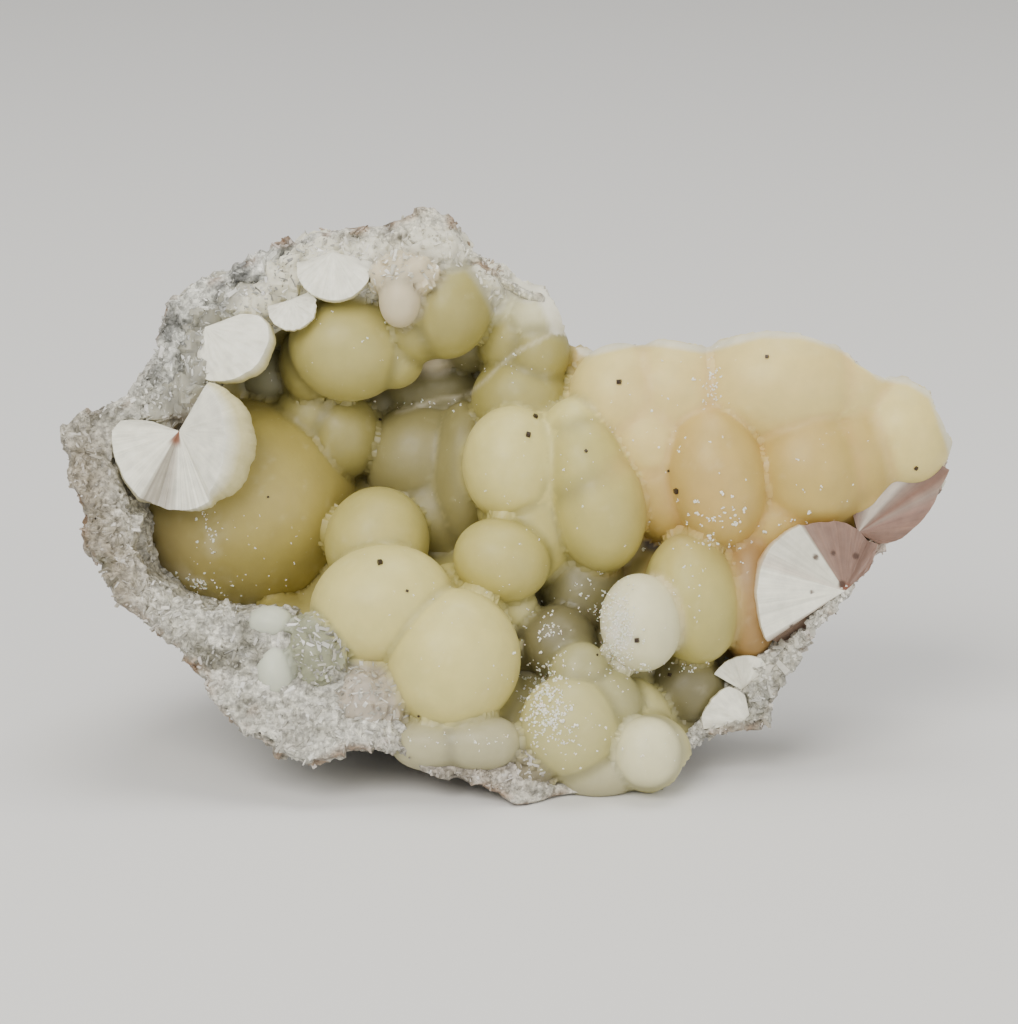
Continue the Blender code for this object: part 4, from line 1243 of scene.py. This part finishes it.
def crystal_turns(draw, outward):
    """Turns that lay flat crystals near the surface, each tilted its own way."""
    count = len(outward)
    lean = outward + draw.normal(size=(count, 3)) * 0.38
    lean /= np.linalg.norm(lean, axis=1)[:, None]
    side = np.cross(lean, draw.normal(size=(count, 3)))
    side /= np.linalg.norm(side, axis=1)[:, None]
    return np.stack([side, np.cross(lean, side), lean], 2)


def face_middles(obj):
    """Middles of an object's faces (across, up, deep), and the way each face looks."""
    faces = obj.data.polygons
    centres, normals = np.zeros((2, len(faces) * 3), np.float32)
    faces.foreach_get("center", centres)
    faces.foreach_get("normal", normals)
    points = laid(centres.reshape(-1, 3))
    return points, laid(stood(points) + normals.reshape(-1, 3).astype(float) * MM) - points


def make_rim_crystals(rock, crust, look):
    """Small flat crystals grown through each other on the broken rim, blocky and clear at its lower right."""
    draw = np.random.default_rng(61)
    points, outward = face_middles(rock)
    front = smooth_step(-outward[:, 2], 0.1, 0.5)
    near_rim = 1 - smooth_step(rim_distance(points), 7.0, 12.0)
    calm = np.clip(patch(points, 430, 255, (46, 44)) + patch(points, 525, 300, (56, 50)), 0, 1)
    weight = front * near_rim * (1 - 0.9 * calm) + 0.02
    weight *= np.where(stood(points)[:, 2] / MM < 2.0, 0.0, 1.0)
    lumps, lumps_outward = face_middles(crust)
    label = nearest_shapes(lumps)[0]
    lump_weight = np.isin(label, ROUGH) * smooth_step(-lumps_outward[:, 2], 0.1, 0.5)
    points, outward = np.concatenate([points, lumps]), np.concatenate([outward, lumps_outward])
    weight = np.concatenate([weight, lump_weight])
    chosen = draw.choice(len(points), size=CRYSTAL_COUNT, replace=False, p=weight / weight.sum())
    here = points[chosen] - outward[chosen] * draw.uniform(0.0, 0.12, (len(chosen), 1))
    clear = patch(here, 790, 650, (50, 90)) > 0.4
    big = (0.22 + 0.42 * draw.random(len(chosen)) ** 2) * np.where(clear, 1.5, 1.0)
    sizes = big[:, None] * draw.uniform([1.3, 0.35, 0.2], [3.0, 0.85, 0.45], (len(chosen), 3))
    sizes[clear, 0] *= 0.7
    sizes[clear, 2] = sizes[clear, 1]
    turns = crystal_turns(draw, outward[chosen])
    kinds = [crystal_shape(draw) for _ in range(CRYSTAL_KINDS)]
    all_points, all_faces, all_colours = [], [], []
    offset = 0
    tone = rock_colours(here, -outward[chosen][:, 2])
    # Each crystal gets a random tone of the rock's colour, and the lightest ones are pushed towards white as a
    # painted glint.
    lighter_and_glint = draw.random(len(chosen))
    tone = tone * (0.50 + 0.76 * lighter_and_glint)[:, None]
    tone = tone + (0.76 - tone) * (0.5 * lighter_and_glint ** 4)[:, None]
    for k, (template, faces) in enumerate(kinds):
        mine = np.arange(k, len(chosen), len(kinds))
        made, made_faces = scatter(template, faces, here[mine], sizes[mine], turns[mine])
        all_points.append(made)
        all_faces.append(made_faces + offset)
        all_colours.append(np.repeat(tone[mine], len(template), axis=0))
        offset += len(made)
    made = mesh_of("rim_crystals", stood_on_floor(np.concatenate(all_points)), np.concatenate(all_faces))
    made.shade_flat()
    paint(made, np.concatenate(all_colours))
    return as_piece("rim_crystals", made, look)


# Clusters of white grains: x, y, reach across and up in view steps, how many, and their size in mm
GRAIN_CLUSTERS = [
    (190, 585, 34, 16, 90, 0.42), (210, 528, 10, 26, 30, 0.40), (250, 560, 60, 50, 24, 0.3),
    (545, 705, 20, 34, 300, 0.5), (575, 735, 30, 25, 40, 0.4), (550, 630, 14, 12, 34, 0.42),
    (618, 632, 14, 34, 420, 0.38), (640, 668, 24, 5, 30, 0.4), (712, 520, 30, 18, 34, 0.6),
    (690, 455, 50, 70, 16, 0.45), (700, 545, 46, 5, 22, 0.45), (790, 500, 40, 25, 12, 0.5),
    (838, 470, 40, 60, 8, 0.4), (690, 590, 20, 40, 18, 0.45), (690, 666, 26, 6, 16, 0.4),
    (430, 405, 50, 5, 16, 0.36), (500, 365, 30, 22, 12, 0.34), (430, 610, 90, 70, 26, 0.26),
    (550, 480, 80, 60, 26, 0.28), (350, 350, 60, 40, 14, 0.28), (712, 385, 7, 26, 46, 0.42),
    (640, 400, 50, 40, 14, 0.32), (655, 745, 20, 16, 12, 0.36), (500, 560, 40, 40, 12, 0.3),
    (600, 610, 40, 30, 20, 0.4), (560, 660, 50, 20, 36, 0.4), (470, 740, 60, 8, 24, 0.36),
    (590, 600, 16, 20, 24, 0.4),
]


def make_grains(crust_tree, look):
    """White specks of a later mineral that sit on the balls."""
    draw = np.random.default_rng(71)
    template, faces = unit_ball(1)
    template = template * (1 + draw.uniform(-0.25, 0.25, (len(template), 1)))
    places, sizes = [], []
    for x, y, wide, high, count, size in GRAIN_CLUSTERS:
        for _ in range(count):
            aside, along = draw.normal() * wide * 0.6, draw.normal() * high * 0.6
            hit, _ = hit_from_front(crust_tree, x + aside, y + along)
            if hit is None:
                continue
            spot = laid(hit)[0]
            big = size * draw.uniform(0.3, 0.8)
            for _ in range(draw.integers(1, 6)):
                places.append(spot + draw.normal(size=3) * big * 0.35)
                sizes.append(big * draw.uniform(0.35, 0.8, 3))
    here = np.array(places)
    turns = random_turns(draw, len(here))
    made_points, made_faces = scatter(template, faces, here, np.array(sizes) * GRAIN_SCALE, turns)
    data = mesh_of("white_grains", stood(made_points), made_faces)
    data.shade_flat()
    return as_piece("white_grains", data, look)


def make_cubes(crust_tree, look):
    """Tiny dark cubes, each sunk a little into the ball that it grew on."""
    draw = np.random.default_rng(81)
    mesh = bmesh.new()
    for x, y, side in CUBES:
        side *= CUBE_SCALE
        hit, normal = hit_from_front(crust_tree, x, y)
        if hit is None:
            continue
        draw.normal(size=(1, 4))  # Not used: it keeps the draws after it as they are
        stand = normal.to_track_quat("Z", "Y").to_matrix().to_4x4()
        stand = stand @ Matrix.Rotation(draw.uniform(0, 1.57), 4, "Z")
        tilt = Matrix.Rotation(draw.uniform(-0.35, 0.35), 4, "X")
        tilt = tilt @ Matrix.Rotation(draw.uniform(-0.35, 0.35), 4, "Y")
        place = Matrix.Translation(hit + normal * side * 0.2 * MM) @ stand @ tilt
        made = bmesh.ops.create_cube(mesh, size=side * MM, matrix=place)
        edges = list({edge for vert in made["verts"] for edge in vert.link_edges})
        bmesh.ops.bevel(mesh, geom=edges, offset=side * 0.05 * MM, segments=1, affect="EDGES")
    data = bpy.data.meshes.new("dark_cubes")
    mesh.to_mesh(data)
    mesh.free()
    data.shade_flat()
    return as_piece("dark_cubes", data, look)


def make_stage():
    """A pale floor and a pale surround."""
    mesh = bmesh.new()
    bmesh.ops.create_grid(mesh, x_segments=1, y_segments=1, size=3.0)
    data = bpy.data.meshes.new("floor")
    mesh.to_mesh(data)
    mesh.free()
    data.materials.append(floor_look())
    floor = linked("floor", data)
    world = bpy.context.scene.world or bpy.data.worlds.new("surround")
    bpy.context.scene.world = world
    world.use_nodes = True
    sky = world.node_tree.nodes["Background"]
    sky.inputs["Color"].default_value = (1.0, 0.985, 0.96, 1.0)
    sky.inputs["Strength"].default_value = 0.62


def add_light(name, place, size, power, colour=(1.0, 1.0, 1.0)):
    light = bpy.data.lights.new(name, "AREA")
    light.shape = "SQUARE"
    light.size = size
    light.energy = power
    light.color = colour
    obj = linked(name, light)
    obj.location = place
    aim = Vector((0.0, 0.0, 0.035))
    obj.rotation_mode = "QUATERNION"
    obj.rotation_quaternion = (aim - Vector(place)).to_track_quat("-Z", "Y")


def make_camera():
    data = bpy.data.cameras.new("camera")
    data.sensor_fit = "HORIZONTAL"
    data.sensor_width = 36.0
    data.lens = 36.0 * SIGHT_DISTANCE / (1018 * SIGHT_STEP)
    data.clip_start, data.clip_end = 0.01, 10.0
    camera = linked("camera", data)
    middle = seen_at(SIGHT_MIDDLE[0], SIGHT_MIDDLE[1], 0.0)
    eye, ahead = Vector(stood([middle[0], middle[1], -SIGHT_DISTANCE])[0]), Vector(stood(middle)[0])
    camera.location = eye
    camera.rotation_mode = "QUATERNION"
    camera.rotation_quaternion = (ahead - eye).to_track_quat("-Z", "Y")
    bpy.context.scene.camera = camera


fibres = fibre_look()
crust = make_crust(waxy_look())
rock = make_rock(rock_look())
make_fans(fibres)
crust_tree = tree_of(crust)
make_rim_crystals(rock, crust, crystal_look())
make_grains(crust_tree, grain_look())
make_cubes(crust_tree, cube_look())
make_stage()
add_light("key", (-0.36, -0.72, 0.74), 0.62, 10.8, (1.0, 0.965, 0.905))
add_light("fill", (0.6, -0.8, 0.3), 0.7, 3.6, (1.0, 0.97, 0.93))
add_light("top", (0.05, 0.15, 0.9), 0.5, 4.0, (1.0, 0.98, 0.95))
make_camera()
